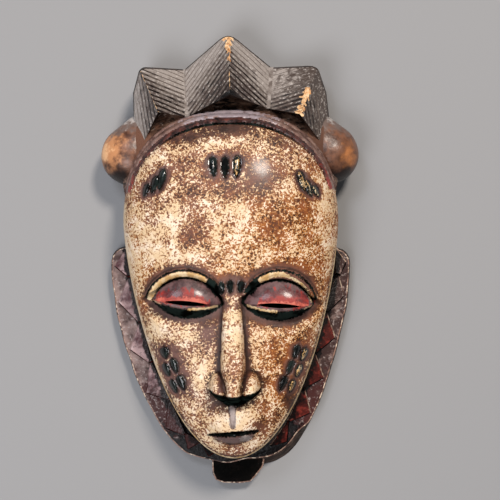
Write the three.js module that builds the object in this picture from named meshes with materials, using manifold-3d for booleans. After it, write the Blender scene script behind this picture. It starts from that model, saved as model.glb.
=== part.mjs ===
// A wooden face mask, carved from one block, lying face up on its back rim.
// Millimetres: +X is the viewer's right, +Y runs to the crown, +Z out of the face.
// The origin is on the plane of the back rim, in the middle of the whole outline.

import * as THREE from 'three';
import Module from 'manifold-3d';
import { mergeVertices } from 'three/addons/utils/BufferGeometryUtils.js';
import { ConvexGeometry } from 'three/addons/geometries/ConvexGeometry.js';
import { LoftGeometry } from 'three/addons/geometries/LoftGeometry.js';

const { degToRad, lerp, smoothstep } = THREE.MathUtils;

// The face is an egg, widest above the eyes: a superellipse above, a pointed oval below.
const FACE_HALF = 86;
const FACE_WIDEST = 32;
const FACE_UP = 85.5;
const FACE_DOWN = 187.5;
const BROW_POWER = 2.25;
const CHIN_POWER = 1.48;

// Heights over the back rim: the face's edge, and the ridge of the dome inside it.
const EDGE_TEMPLE = 42;
const EDGE_TOP = 60;
const EDGE_CHIN = 52;
const DOME_CHIN = 80;
const DOME_FOREHEAD = 94;
const ROUND_FOREHEAD = 2.6;
const ROUND_CHIN = 5;
const WALL = 14;
const FACE_RINGS = [1, 0.985, 0.95, 0.9, 0.82, 0.7, 0.56, 0.4, 0.24, 0.1];
const HOLLOW_RINGS = [0.97, 0.88, 0.7, 0.45, 0.15];
const CHIP = 0.04;

// Each eye is an almond between two arcs, in a socket cut under an arched brow. The sides
// were cut freehand: each has its own place and tilt, and arcs are given from its middle.
const EYES = [
  { x: -34.5, y: -29, tilt: -4.5, brow: { x: -36.5, y: -38, radius: 31.1, inward: 1 } },
  { x: 36, y: -32, tilt: -2.5, brow: { x: 37, y: -36, radius: 27.7, inward: -1 } },
];
const UPPER_LID = { y: -12, radius: 29.6 };
const LOWER_LID = { y: 23.4, radius: 35.8 };
const LIDS = { bottom: 60, top: 100, bulgeZ: 71, bulgeSize: [34, 24, 19] };
const SLIT = { y: -1.5, halfLength: 16.3, halfWidth: 1.9 };
const SOCKET = { y: 3, z: 92, size: [30, 23, 13] };
const BROW = { from: 27, to: 148, thickness: 3.6, height: 88, outerDrop: 7, dropFrom: 8, dropTo: 33 };

// The nose is a long bridge with a spread of wings over a short upper lip. Its section is
// given across in half widths and down from the ridge in millimetres.
const NOSE = { x: 0.6, rootY: -17, rootHeight: 88, tipY: -101.4, tipHeight: 105, half: 7.8, flare: 3 };
const NOSE_SECTION = [[-1, -30], [1, -30], [0.92, -7], [0.5, -0.8], [0, 0], [-0.5, -0.8], [-0.92, -7]];
const NOSE_WING = { x: 11.1, y: -93, height: 86, size: [9, 11, 12] };
const NOSE_UNDERSIDE = { half: 40, slant: 7, reach: 40, top: 5, bottom: 60 };
const PHILTRUM = { top: -112, bottom: -128.5, halfWidth: 2.2 };
const MOUTH = { y: -133, halfWidth: 20, rise: 2.6, halfGap: 1, height: 76 };
const MUZZLE = { y: -127, z: 62, size: [26, 20, 15] };
const LOWER_LIP = { y: -134.5, z: 73, size: [20, 8, 6] };

// The crown is three pointed lobes, each a ridge between two falling facets. A facet may
// swell on its outer side, and its grooves slant from the ridge as seen from the front.
const CROWN = {
  left: { tip: [-71.6, 158, 51], prow: [-54.9, 118.5, 72], round: 7 },
  middle: { tip: [0.2, 186, 42], prow: [1.6, 130.3, 82], round: 10 },
  right: { tip: [72.8, 158, 41], prow: [55.7, 115, 72], round: 8 },
};
const VALLEY = {
  farLeft: { top: [-77.6, 119], foot: [-68.9, 96.1, 48], swell: [-77.6, 138] },
  left: { top: [-35.6, 159], foot: [-33, 115.6, 58] },
  right: { top: [35, 158.8], foot: [31.1, 121.2, 58] },
  farRight: { top: [81.6, 114.6], foot: [72.3, 95.6, 48], swell: [79.2, 137] },
};
const HALVES = [
  { lobe: 'left', valley: 'farLeft', side: -1, slant: 14, pitch: 2.8 },
  { lobe: 'left', valley: 'left', side: 1, slant: 46, pitch: 3.5 },
  { lobe: 'middle', valley: 'left', side: -1, slant: 38, pitch: 3 },
  { lobe: 'middle', valley: 'right', side: 1, slant: 46, pitch: 3.4 },
  { lobe: 'right', valley: 'right', side: -1, slant: 54, pitch: 3.4 },
  { lobe: 'right', valley: 'farRight', side: 1, slant: 30, pitch: 2.8 },
];
const ROUNDING = [[0, 0.44], [0.4, 0.16], [1, 0]];
const CHAMFER = { in: 3.2, down: 8 };
const FOOT_SETBACK = 6;
const GROOVE = { width: 2.2, depth: 1.3, above: 0.5, reach: 74 };

// A raised band follows the hairline, and a smooth strip of skull slopes down behind it.
const BAND = { radius: 2.8, margin: 2.4, lift: 0.2, from: 19, to: 161, stations: 25, steps: 30 };
const SKULL = { step: 4.9, slope: 15, lower: 5.6, fall: 0.95, stations: 33 };

const BUNS = [{ x: -80.2, y: 88.2 }, { x: 80.2, y: 86.6 }];
const BUN = { z: 27, size: [24.3, 24.3, 21] };
const NECK = { in: 7.2, up: 14.8, size: [15.5, 17.5, 17] };

// The ruff behind the jaw is a flat collar. Its outline runs anticlockwise from its lower
// left, and its front edge is drawn in, by more at the lower right.
const RUFF_OUTLINE = [
  [-18.6, -164.7], [20, -169], [31.1, -167.4], [42.9, -161], [49.6, -154.4], [58.3, -141.2],
  [65.6, -128], [72, -114.7], [76.8, -101.5], [81.2, -88.2], [85.6, -75], [88.8, -61.7],
  [92.4, -48.4], [96.5, -21.8], [97.8, -7], [98.3, -0.5], [96.9, 4.1], [94.3, 7.6],
  [91, 9.8], [86, 10.5], [-86, 14.6], [-93.4, 13.8], [-97, 11.6], [-99.8, 7.4],
  [-100.6, 4], [-98.6, -25.5], [-93.8, -54.4], [-86.5, -79.2], [-78, -104.1], [-69.7, -120.7],
  [-57.7, -141.5], [-41.5, -158.2],
];
const RUFF = { middle: [0, -50], height: 15, inset: 2, wideInset: 7.5 };
const RUFF_WIDE = { from: [20, -169], to: [58.3, -141.2] };

// Its front is cut into teeth. Each climbs from the foot of the tooth above it to a hard
// step, which runs from its own tip in to its own foot.
const TEETH = [
  {
    top: [-88, 12],
    tips: [[-96.4, -0.4], [-94.2, -31], [-85.4, -70.3], [-73.6, -107.5], [-57.5, -137.3]],
    feet: [[-85.8, -9.7], [-77.5, -47.2], [-69.9, -80.3], [-55.1, -110.7], [-42.4, -140]],
  },
  {
    top: [87, 9],
    tips: [[94, 0.2], [91.8, -29], [84.4, -63.5], [74.6, -96.9], [63, -126.6], [43, -150]],
    feet: [[88.3, -11.1], [77.7, -41.6], [67.3, -75.2], [58.2, -103.7], [45.5, -130.8], [30.6, -150.6]],
  },
];
const TOOTH = {
  rootHeight: 16.4,
  tipHeight: 17.5,
  footHeight: 22.5,
  deepHeight: 24,
  deepIn: 0.96,
  overlap: 0.5,
  bottom: 11,
};

const TAB_HEIGHT = 13;
const TAB_OUTLINE = [
  [-19.5, -150], [-19.2, -174], [-16.6, -179.4], [-10, -181.9], [3, -182.4],
  [11.7, -181.4], [15.8, -177.6], [22.6, -168.8], [23.6, -164], [23.4, -150],
];

// Rows of raised scars: centre, lean in degrees and size of each.
const SCAR_HEIGHT = 2.4;
const SCARS = [
  { x: -12.2, y: 74.1, lean: 4, size: 8 },
  { x: -3, y: 73.3, lean: 0, size: 8.6 },
  { x: 5.9, y: 73.8, lean: -4, size: 8.6 },
  { x: -64.8, y: 57.4, lean: -22, size: 5.5 },
  { x: -58.1, y: 61.3, lean: -20, size: 7.5 },
  { x: -52.3, y: 65.2, lean: -14, size: 8.5 },
  { x: 55.9, y: 61.9, lean: 16, size: 8 },
  { x: 61.1, y: 56.5, lean: 20, size: 7 },
  { x: 66.9, y: 54.4, lean: 24, size: 5 },
  { x: -7.4, y: -19.1, lean: 8, size: 5 },
  { x: 0, y: -18.3, lean: 0, size: 5.4 },
  { x: 7.6, y: -18.5, lean: -8, size: 5.2 },
  { x: -53.1, y: -69.6, lean: 10, size: 5 },
  { x: -51.9, y: -82, lean: 12, size: 5.4 },
  { x: -45.2, y: -80, lean: 12, size: 6 },
  { x: -48.2, y: -96.2, lean: 14, size: 5 },
  { x: -41, y: -93.4, lean: 14, size: 6 },
  { x: 49.6, y: -71.4, lean: -14, size: 5.4 },
  { x: 56.4, y: -74.4, lean: -14, size: 5.4 },
  { x: 45.2, y: -83.4, lean: -14, size: 5.8 },
  { x: 51.8, y: -87.4, lean: -14, size: 5.4 },
  { x: 39.4, y: -95.2, lean: -14, size: 6 },
  { x: 46.2, y: -99.2, lean: -14, size: 5.2 },
];

const wasm = await Module();
wasm.setup();

function solidOf(geometry) {
  const bare = new THREE.BufferGeometry();
  bare.setAttribute('position', geometry.getAttribute('position'));
  bare.setIndex(geometry.index);
  const merged = mergeVertices(bare, 1e-4);
  return new wasm.Manifold(new wasm.Mesh({
    numProp: 3,
    vertProperties: new Float32Array(merged.attributes.position.array),
    triVerts: new Uint32Array(merged.index.array),
  }));
}

function geometryOf(solid) {
  const mesh = solid.getMesh();
  const geometry = new THREE.BufferGeometry();
  geometry.setAttribute('position', new THREE.BufferAttribute(mesh.vertProperties, 3));
  geometry.setIndex(new THREE.BufferAttribute(mesh.triVerts, 1));
  geometry.computeVertexNormals();
  return geometry;
}

const unite = (solids) => solids.reduce((whole, next) => whole.add(next));

// Drops the slivers and loose chips that crossing cuts leave.
function cleaned(solid) {
  const bodies = solid.simplify(CHIP).decompose();
  return bodies.sort((a, b) => b.volume() - a.volume())[0];
}

// How far out a point of the face lies: 0 in the middle, 1 on the outline.
function faceRatio(x, y) {
  const across = Math.abs(x) / FACE_HALF;
  if (y >= FACE_WIDEST) {
    const up = (y - FACE_WIDEST) / FACE_UP;
    return (across ** BROW_POWER + up ** BROW_POWER) ** (1 / BROW_POWER);
  }
  return Math.sqrt(across ** 2 + ((FACE_WIDEST - y) / FACE_DOWN) ** CHIN_POWER);
}

// The point of the face at an angle and ratio, on an egg grown or shrunk by a margin.
function facePoint(angle, ratio = 1, margin = 0) {
  const [cos, sin] = [Math.cos(angle), Math.sin(angle)];
  const half = FACE_HALF + margin;
  if (sin >= 0) {
    const power = 2 / BROW_POWER;
    const x = half * ratio * Math.sign(cos) * Math.abs(cos) ** power;
    return [x, FACE_WIDEST + (FACE_UP + margin) * ratio * sin ** power];
  }
  const down = (ratio * Math.abs(sin)) ** (2 / CHIN_POWER);
  return [half * ratio * cos, FACE_WIDEST - (FACE_DOWN + margin) * down];
}

function edgeHeight(y) {
  const rise = (EDGE_TOP - EDGE_TEMPLE) * smoothstep(y, 50, 118);
  return EDGE_TEMPLE + rise + (EDGE_CHIN - EDGE_TEMPLE) * (1 - smoothstep(y, -150, -40));
}

// The dome's height where a point lies at a ratio of the way out, level with y.
function domeHeight(ratio, y) {
  const ridge = lerp(DOME_CHIN, DOME_FOREHEAD, smoothstep(y, -150, 60));
  const roundness = lerp(ROUND_CHIN, ROUND_FOREHEAD, smoothstep(y, -120, 0));
  return lerp(edgeHeight(y), ridge, Math.sqrt(Math.max(0, 1 - ratio ** roundness)));
}

const faceHeight = (x, y) => domeHeight(faceRatio(x, y), y);

const around = (count, pointAt) =>
  Array.from({ length: count }, (_, i) => pointAt((i / count) * 2 * Math.PI));

// Rings of the egg from the back rim up over the dome, closed in the middle.
function dome({ margin, bottom, lower, ratios, steps }) {
  const ring = (ratio, heightAt) => around(steps, (angle) => {
    const [x, y] = facePoint(angle, ratio, margin);
    return new THREE.Vector3(x, y, heightAt(y));
  });
  const rings = ratios.map((ratio) => ring(ratio, (y) => domeHeight(ratio, y) - lower));
  return solidOf(new LoftGeometry([ring(1, () => bottom), ...rings], {
    capStart: true,
    capEnd: true,
  }));
}

function prism(points, bottom, top) {
  const shape = new THREE.Shape(points.map(([x, y]) => new THREE.Vector2(x, y)));
  const geometry = new THREE.ExtrudeGeometry(shape, { depth: top - bottom, bevelEnabled: false });
  return solidOf(geometry.translate(0, 0, bottom));
}

const hull = (points) => solidOf(new ConvexGeometry(points.map((p) => new THREE.Vector3(...p))));

function ball([x, y, z], [rx, ry, rz], columns = 16, rows = 10) {
  const geometry = new THREE.SphereGeometry(1, columns, rows);
  return solidOf(geometry.rotateX(Math.PI / 2).scale(rx, ry, rz).translate(x, y, z));
}

// A round bar swept along a curve.
function bar(points, radius, steps, sides = 8) {
  const corners = around(sides, (a) => new THREE.Vector2(Math.cos(a) * radius, Math.sin(a) * radius));
  return solidOf(new THREE.ExtrudeGeometry(new THREE.Shape(corners), {
    extrudePath: new THREE.CatmullRomCurve3(points),
    steps,
    bevelEnabled: false,
  }));
}

function band() {
  const { radius, margin, lift, from, to, stations, steps } = BAND;
  const turns = Array.from({ length: stations }, (_, i) => degToRad(lerp(from, to, i / (stations - 1))));
  const centres = turns.map((angle) => {
    const [x, y] = facePoint(angle, 1, margin);
    return new THREE.Vector3(x, y, edgeHeight(y) + lift);
  });
  return bar(centres, radius, steps, 6);
}

// The smooth strip of skull behind the band, from bun to bun.
function skull() {
  const { step, slope, lower, fall, stations } = SKULL;
  const turns = Array.from({ length: stations }, (_, i) => (i / (stations - 1)) * Math.PI);
  const ring = (marginAt, heightAt) => turns.map((angle) => {
    const rise = Math.sin(angle);
    const inner = step * smoothstep(rise, 0.2, 0.34);
    const outer = slope * smoothstep(rise, 0.34, 0.85);
    const [x, y] = facePoint(angle, 1, marginAt(inner, outer));
    return new THREE.Vector3(x, y, heightAt(y, outer));
  });
  const whole = (inner, outer) => inner + outer;
  return solidOf(new LoftGeometry([
    ring(whole, () => 0),
    ring(whole, (y, outer) => edgeHeight(y) - lower - fall * outer),
    ring((inner) => inner, (y) => edgeHeight(y) - lower),
  ], { capStart: true, capEnd: true }));
}

function onFacet({ normal, constant }, x, y) {
  return new THREE.Vector3(x, y, -(constant + normal.x * x + normal.y * y) / normal.z);
}

// Grooves run across a facet at a slant to the lobe's ridge, like the barbs of a feather.
function facetGrooves(facet, tip, prow, { side, slant, pitch }) {
  const { width, depth, above, reach } = GROOVE;
  const ridge = new THREE.Vector2(prow.x - tip.x, prow.y - tip.y).normalize();
  const plan = ridge.rotateAround(new THREE.Vector2(), side * degToRad(slant));
  const along = onFacet(facet, tip.x + plan.x, tip.y + plan.y).sub(tip).normalize();
  const across = onFacet(facet, tip.x + plan.y * pitch, tip.y - plan.x * pitch).sub(tip);
  const normal = facet.normal.clone().multiplyScalar(Math.sign(facet.normal.z));
  const section = new THREE.Shape([
    new THREE.Vector2(-width / 2, above),
    new THREE.Vector2(0, -depth),
    new THREE.Vector2(width / 2, above),
  ]);
  const aside = along.clone().cross(normal);
  const frame = new THREE.Matrix4().makeBasis(aside, normal, along.clone().negate());
  const count = Math.floor(reach / pitch);
  return Array.from({ length: 2 * count }, (_, i) => {
    const at = tip.clone().addScaledVector(across, i - count + 0.5);
    const cut = new THREE.ExtrudeGeometry(section, { depth: 2 * reach, bevelEnabled: false });
    return solidOf(cut.translate(0, 0, -reach).applyMatrix4(frame.clone().setPosition(at)));
  });
}

// Half a lobe: the flat facet from its ridge down to a valley, chamfered along its rim, with
// all the wood behind it.
function halfLobe(half) {
  const { round, ...lobe } = CROWN[half.lobe];
  const valley = VALLEY[half.valley];
  const [tip, prow, foot] = [lobe.tip, lobe.prow, valley.foot].map((c) => new THREE.Vector3(...c));
  const facet = new THREE.Plane().setFromCoplanarPoints(tip, prow, foot);
  const top = onFacet(facet, ...valley.top);
  const [edge, ridge] = [top.clone().sub(tip), prow.clone().sub(tip)].map((v) => v.normalize());
  const rim = ROUNDING.map(([out, down]) =>
    tip.clone().addScaledVector(edge, out * round).addScaledVector(ridge, down * round));
  if (valley.swell) rim.push(onFacet(facet, ...valley.swell));
  const drawnIn = (corner, inner) => corner.clone().lerp(inner, CHAMFER.in / corner.distanceTo(inner));
  const front = [...rim.map((corner) => drawnIn(corner, prow)), drawnIn(top, foot), prow, foot];
  rim.push(top);
  const shoulders = rim.map(({ x, y, z }) => [x, y, z - CHAMFER.down]);
  const backs = rim.map(({ x, y }) => [x, y, 0]);
  const setBack = [prow, foot].map(({ x, y }) => [x, y + FOOT_SETBACK, 0]);
  const block = hull([...front.map((corner) => corner.toArray()), ...shoulders, ...backs, ...setBack]);
  return facetGrooves(facet, tip, prow, half).reduce((wood, groove) => wood.subtract(groove), block);
}

// A ball at each temple, with a neck that joins it to the crown.
function bun({ x, y }) {
  const neckX = x - Math.sign(x) * NECK.in;
  const neck = ball([neckX, y + NECK.up, BUN.z], NECK.size, 12, 8);
  return wasm.Manifold.hull([ball([x, y, BUN.z], BUN.size, 20, 12), neck]);
}

function ruff() {
  const [middleX, middleY] = RUFF.middle;
  const [from, to] = [RUFF_WIDE.from, RUFF_WIDE.to];
  const isWide = ([x, y]) => x > from[0] && x < to[0] && y < to[1];
  const bottom = RUFF_OUTLINE.map(([x, y]) => new THREE.Vector3(x, y, 0));
  const top = RUFF_OUTLINE.map((point) => {
    const out = new THREE.Vector2(point[0] - middleX, point[1] - middleY);
    const inset = isWide(point) ? RUFF.wideInset : RUFF.inset;
    out.setLength(out.length() - inset);
    return new THREE.Vector3(out.x + middleX, out.y + middleY, RUFF.height);
  });
  return solidOf(new LoftGeometry([bottom, top], { capStart: true, capEnd: true }));
}

function teeth({ top, tips, feet }) {
  const { rootHeight, tipHeight, footHeight, deepHeight, deepIn, overlap, bottom } = TOOTH;
  return tips.map((tip, i) => {
    const [rootX, rootY] = i > 0 ? feet[i - 1] : top;
    const [footX, footY] = feet[i];
    const corners = [
      [rootX * (1 + deepIn) / 2, rootY + 2 * overlap, rootHeight],
      [...tip, tipHeight],
      [footX, footY, footHeight],
      [footX * deepIn, footY + 2 * overlap, deepHeight],
    ];
    return hull([...corners, ...corners.map(([x, y]) => [x, y, bottom])]);
  });
}

const tab = () => hull(TAB_OUTLINE.flatMap(([x, y]) => [[x, y, 0], [x, y, TAB_HEIGHT]]));

// Everything of an eye is made around its middle, then turned and moved into place.
const atEye = (solid, { x, y, tilt }) => solid.rotate([0, 0, tilt]).translate([x, y, 0]);

function eye(place) {
  const { bottom, top, bulgeZ, bulgeSize } = LIDS;
  const disc = ({ y, radius }) => prism(around(36, (angle) => [
    radius * Math.cos(angle),
    y + radius * Math.sin(angle),
  ]), bottom, top);
  const almond = disc(UPPER_LID).intersect(disc(LOWER_LID));
  return atEye(almond.intersect(ball([0, 0, bulgeZ], bulgeSize, 20, 14)), place);
}

function eyeSlit(place) {
  const { y, halfLength, halfWidth } = SLIT;
  const outline = around(16, (angle) => [halfLength * Math.cos(angle), y + halfWidth * Math.sin(angle)]);
  return atEye(prism(outline, -1, 110), place);
}

const socket = (place) => atEye(ball([0, SOCKET.y, SOCKET.z], SOCKET.size, 20, 10), place);

function brow({ brow: { x, y, radius, inward } }) {
  const { from, to, thickness, height, outerDrop, dropFrom, dropTo } = BROW;
  const turns = Array.from({ length: 13 }, (_, i) => degToRad(lerp(from, to, i / 12)));
  return bar(turns.map((angle) => {
    const along = radius * Math.cos(angle);
    const drop = outerDrop * smoothstep(-along, dropFrom, dropTo);
    return new THREE.Vector3(x + inward * along, y + radius * Math.sin(angle), height - drop);
  }), thickness, 14, 6);
}

function nose() {
  const { x: noseX, rootY, rootHeight, tipY, tipHeight, half, flare } = NOSE;
  const section = (y, width, height) =>
    NOSE_SECTION.map(([across, up]) => new THREE.Vector3(noseX + across * width, y, height + up));
  const bridge = Array.from({ length: 5 }, (_, i) => {
    const t = i / 4;
    return section(lerp(rootY, tipY, t), half + flare * t ** 3, lerp(rootHeight, tipHeight, t));
  });
  const under = NOSE_UNDERSIDE;
  bridge.push(section(tipY - under.slant, half + flare, tipHeight));
  const length = new LoftGeometry(bridge, { capStart: true, capEnd: true });
  const { x, y, height, size } = NOSE_WING;
  const wings = [-1, 1].map((side) => ball([noseX + side * x, y, height], size, 12, 8));
  const cut = [-1, 1].flatMap((side) => [
    [side * under.half, tipY, tipHeight + under.top],
    [side * under.half, tipY - under.slant, under.bottom],
    [side * under.half, tipY - under.reach, tipHeight + under.top],
    [side * under.half, tipY - under.reach, under.bottom],
  ]);
  return unite([solidOf(length), ...wings]).subtract(hull(cut));
}

function lips() {
  const muzzle = ball([0, MUZZLE.y, MUZZLE.z], MUZZLE.size, 16, 10);
  return muzzle.add(ball([0, LOWER_LIP.y, LOWER_LIP.z], LOWER_LIP.size, 14, 8));
}

function mouthSlit() {
  const { y, halfWidth, rise, halfGap, height } = MOUTH;
  const outline = [
    [-halfWidth, y - rise / 2],
    [0, y - halfGap],
    [halfWidth, y + rise / 2],
    [0, y + halfGap],
  ];
  return prism(outline, height - 3, height + 20);
}

function philtrum() {
  const { top, bottom, halfWidth } = PHILTRUM;
  const outline = [[-halfWidth, top], [0, bottom], [halfWidth, top]];
  return prism(outline, MOUTH.height - 1.5, MOUTH.height + 20);
}

// A scar is a small raised leaf, pointed at its foot.
function scar({ x, y, lean, size }) {
  const height = faceHeight(x, y);
  const leaf = new THREE.OctahedronGeometry(1, 0).scale(size * 0.42, size, SCAR_HEIGHT);
  return solidOf(leaf.rotateZ(degToRad(lean)).translate(x, y, height + 0.2));
}

function mask() {
  const face = dome({ margin: 0, bottom: 0, lower: 0, ratios: FACE_RINGS, steps: 60 });
  const inside = dome({ margin: -WALL, bottom: -1, lower: WALL + 2, ratios: HOLLOW_RINGS, steps: 40 });
  const carving = unite([
    face.subtract(unite(EYES.map(socket))),
    ...EYES.map(brow),
    ...EYES.map(eye),
    nose(),
    lips(),
    ...SCARS.map(scar),
  ]);
  const crown = HALVES.map(halfLobe);
  const head = unite([carving, skull(), band(), ...crown, ...BUNS.map(bun)]);
  const whole = unite([head, ruff(), ...TEETH.flatMap(teeth), tab()]);
  const openings = unite([inside, ...EYES.map(eyeSlit), mouthSlit(), philtrum()]);
  return cleaned(whole.subtract(openings));
}

const wood = new THREE.MeshStandardMaterial({ color: 0xb08a63, roughness: 0.55, metalness: 0 });
const group = new THREE.Group();
const body = new THREE.Mesh(geometryOf(mask()), wood);
body.name = 'mask';
group.add(body);

export default group;
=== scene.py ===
# %% [markdown]
# # A carved face mask, lying on its back
# The mask is one block of wood: a domed egg of a face with sleepy eyes under arched brows,
# a crown of three pointed lobes, a bun at each temple, and a flat toothed ruff behind the
# jaw. It lies face up on its back rim. This lesson carves it in millimetres, part by part,
# joins the parts into one closed solid, and paints it by where each point of it lies.

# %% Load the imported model
import math

import bmesh
import bpy
import numpy as np
from mathutils import Matrix, Vector, noise


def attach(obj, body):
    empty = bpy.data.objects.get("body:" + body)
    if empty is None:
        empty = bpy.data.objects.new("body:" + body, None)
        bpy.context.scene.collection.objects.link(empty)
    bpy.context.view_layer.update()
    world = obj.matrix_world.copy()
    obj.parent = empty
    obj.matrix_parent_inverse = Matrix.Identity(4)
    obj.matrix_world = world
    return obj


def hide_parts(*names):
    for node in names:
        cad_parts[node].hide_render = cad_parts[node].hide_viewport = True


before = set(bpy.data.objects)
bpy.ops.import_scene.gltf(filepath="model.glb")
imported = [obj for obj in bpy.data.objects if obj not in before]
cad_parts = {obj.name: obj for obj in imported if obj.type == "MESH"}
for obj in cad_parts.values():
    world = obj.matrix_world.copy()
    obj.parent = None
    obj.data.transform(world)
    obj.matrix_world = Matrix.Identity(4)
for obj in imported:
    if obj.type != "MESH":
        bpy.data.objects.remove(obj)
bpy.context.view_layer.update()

print("packed nodes:", sorted(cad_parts))

# %% [markdown]
# ## The view
# The photograph looks straight at the mask from about a metre away, so here the camera
# hangs over the face. The camera, the floor and the lamps come first, because every later
# choice is judged through them.

# %% Camera over the face
MM = 0.001
EYE_POINT = Vector((14.9, 9.6, 1100))
LENS, SENSOR = 95, 36
CAMERA_ROLL = -1

camera_data = bpy.data.cameras.new("camera")
camera_data.lens = LENS
camera_data.sensor_width = SENSOR
camera = bpy.data.objects.new("camera", camera_data)
camera.location = EYE_POINT * MM
camera.rotation_euler = (0, 0, math.radians(CAMERA_ROLL))
bpy.context.scene.collection.objects.link(camera)
bpy.context.scene.camera = camera
bpy.context.scene.view_settings.view_transform = "Standard"
print("camera is", round(camera.location.z, 2), "m over the floor")

# %% [markdown]
# ## Colours
# A colour picker shows sRGB values, but a shader works in linear light. One function turns
# the hex value that was picked into the linear colour that Blender mixes.

# %% Hex to linear colour
def paint(hex_value):
    """A hex colour as the linear RGBA that a socket takes."""
    channels = [int(hex_value[i:i + 2], 16) / 255 for i in (1, 3, 5)]
    linear = [c / 12.92 if c <= 0.04045 else ((c + 0.055) / 1.055) ** 2.4 for c in channels]
    return (*linear, 1)


def add(tree, kind, options=None, inputs=None):
    """Adds a node. An input is a socket, which is linked, or a plain value."""
    node = tree.nodes.new(kind)
    for name, value in (options or {}).items():
        setattr(node, name, value)
    for key, value in (inputs or {}).items():
        if isinstance(value, bpy.types.NodeSocket):
            tree.links.new(value, node.inputs[key])
        else:
            node.inputs[key].default_value = value
    return node


print("mid grey is", round(paint("#808080")[0], 3), "in linear light")

# %% [markdown]
# ## Floor and lamps
# The photograph was taken in soft light from two windows above the crown, the right one
# stronger: the shadow falls to the lower left, with a faint second one to the right. Two
# area lamps stand for the windows, a third and weaker one for the light that comes back from
# the room, and the world gives a grey fill.

# %% Floor, lamps and world
FLOOR_SIZE = 6.0
LAMPS = [
    {"name": "window_right", "at": (720, 1380, 2300), "size": 0.5, "power": 53, "tint": "#FFF4E8"},
    {"name": "window_left", "at": (-700, 1240, 2380), "size": 0.7, "power": 18, "tint": "#EFF4FF"},
    {"name": "room", "at": (-560, -620, 1500), "size": 0.9, "power": 15, "tint": "#F6F6FA"},
]
AIM = Vector((0, 10, 50))
WALL_PAINT = {"colour": "#9B9B9C", "roughness": 0.85}
ROOM_LIGHT = {"colour": "#C9CCD2", "strength": 0.22}

floor_mesh = bmesh.new()
bmesh.ops.create_grid(floor_mesh, x_segments=1, y_segments=1, size=FLOOR_SIZE / 2)
floor_data = bpy.data.meshes.new("floor")
floor_mesh.to_mesh(floor_data)
floor_mesh.free()
floor = bpy.data.objects.new("floor", floor_data)
bpy.context.scene.collection.objects.link(floor)

floor_paint = bpy.data.materials.new("matt_wall_paint")
floor_paint.use_nodes = True
floor_shader = floor_paint.node_tree.nodes["Principled BSDF"]
floor_shader.inputs["Base Color"].default_value = paint(WALL_PAINT["colour"])
floor_shader.inputs["Roughness"].default_value = WALL_PAINT["roughness"]
floor_data.materials.append(floor_paint)

for lamp in LAMPS:
    light_data = bpy.data.lights.new(lamp["name"], "AREA")
    light_data.shape = "DISK"
    light_data.size = lamp["size"]
    light_data.energy = lamp["power"]
    light_data.color = paint(lamp["tint"])[:3]
    light = bpy.data.objects.new(lamp["name"], light_data)
    spot = Vector(lamp["at"])
    light.location = spot * MM
    light.rotation_euler = (AIM - spot).to_track_quat("-Z", "Y").to_euler()
    bpy.context.scene.collection.objects.link(light)

world = bpy.data.worlds.new("room")
world.use_nodes = True
backdrop = world.node_tree.nodes["Background"]
backdrop.inputs["Color"].default_value = paint(ROOM_LIGHT["colour"])
backdrop.inputs["Strength"].default_value = ROOM_LIGHT["strength"]
bpy.context.scene.world = world
print(len(LAMPS), "lamps over a", FLOOR_SIZE, "m floor")

# %% [markdown]
# ## The finishes
# The mask is stained, painted and waxed wood, worn in different ways. Every part carries
# the same list of finishes, so that a cut or a join keeps each face's own finish.

# %% List of finishes
FINISHES = [
    "chalk_rubbed_over_stained_wood",
    "soot_stained_wood_with_dust",
    "stained_wood_worn_by_handling",
    "dark_waxed_wood",
    "red_earth_rubbed_into_wood",
    "bare_adzed_wood",
    "bare_wood_where_it_chipped",
    "waxed_wood_rubbed_to_a_shine",
    "soot_packed_into_knife_cuts_and_painted_shadow",
    "mauve_stain_rubbed_into_wood",
    "stained_wood_with_pale_dust",
    "wax_worn_off_the_edges",
    "brown_stained_wood_knife_cut",
    "dark_stained_wood_gouge_cut",
    "red_brown_wood_carved_as_cord",
    "dark_stained_wood_knife_cut",
    "dark_red_stained_wood_knife_cut",
]
(FACE, LOBE, BUN, RUFF, RED, ADZED, BARE, ROLL, SOOT_AND_SHADOW, TOOTH, DUSTY, EDGE, SKULL, GOUGED, CORDED,
 SIDE, STEP) = range(len(FINISHES))
finishes = [bpy.data.materials.new(name) for name in FINISHES]
for finish in finishes:
    finish.use_nodes = True
print("finishes:", ", ".join(FINISHES))

# %% [markdown]
# ## Parts, joins and cuts
# A carver takes wood away from one block. A boolean does the same: each part is a closed
# solid, and a cut or a join makes one closed solid of two. The manifold solver is quick and
# keeps the mesh closed.

# %% Make, join and cut
def part(name, form, finish=None):
    """Turns a finished bmesh into an object that carries every finish."""
    bmesh.ops.recalc_face_normals(form, faces=form.faces)
    if finish is not None:
        for face in form.faces:
            face.material_index = finish
    data = bpy.data.meshes.new(name)
    form.to_mesh(data)
    form.free()
    for material in finishes:
        data.materials.append(material)
    solid = bpy.data.objects.new(name, data)
    bpy.context.scene.collection.objects.link(solid)
    return solid


def carve(wood, tool, operation):
    """Joins a part to the wood, or cuts it out, and uses the part up."""
    step = wood.modifiers.new(operation.lower(), "BOOLEAN")
    step.object = tool
    step.operation = operation
    step.solver = "MANIFOLD"
    bpy.context.view_layer.update()
    shaped = wood.evaluated_get(bpy.context.evaluated_depsgraph_get())
    data = bpy.data.meshes.new_from_object(shaped)
    wood.modifiers.clear()
    spent = [wood.data, tool.data]
    wood.data = data
    bpy.data.objects.remove(tool)
    for old in spent:
        bpy.data.meshes.remove(old)
    return wood


def smooth(value, low, high):
    """0 below low, 1 above high, and an easy climb between."""
    t = np.clip((value - low) / (high - low), 0, 1)
    return t * t * (3 - 2 * t)


print("a smooth climb is", smooth(0.25, 0, 1), "a quarter of the way up")

# %% [markdown]
# ## The egg of the face
# The outline is an egg: round above, drawn to a chin below. A ratio says how far out a
# point lies, 0 in the middle and 1 on the outline, and the dome's height follows from it:
# full over the forehead, and falling off steeply near the edge, as a carved face does.

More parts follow.
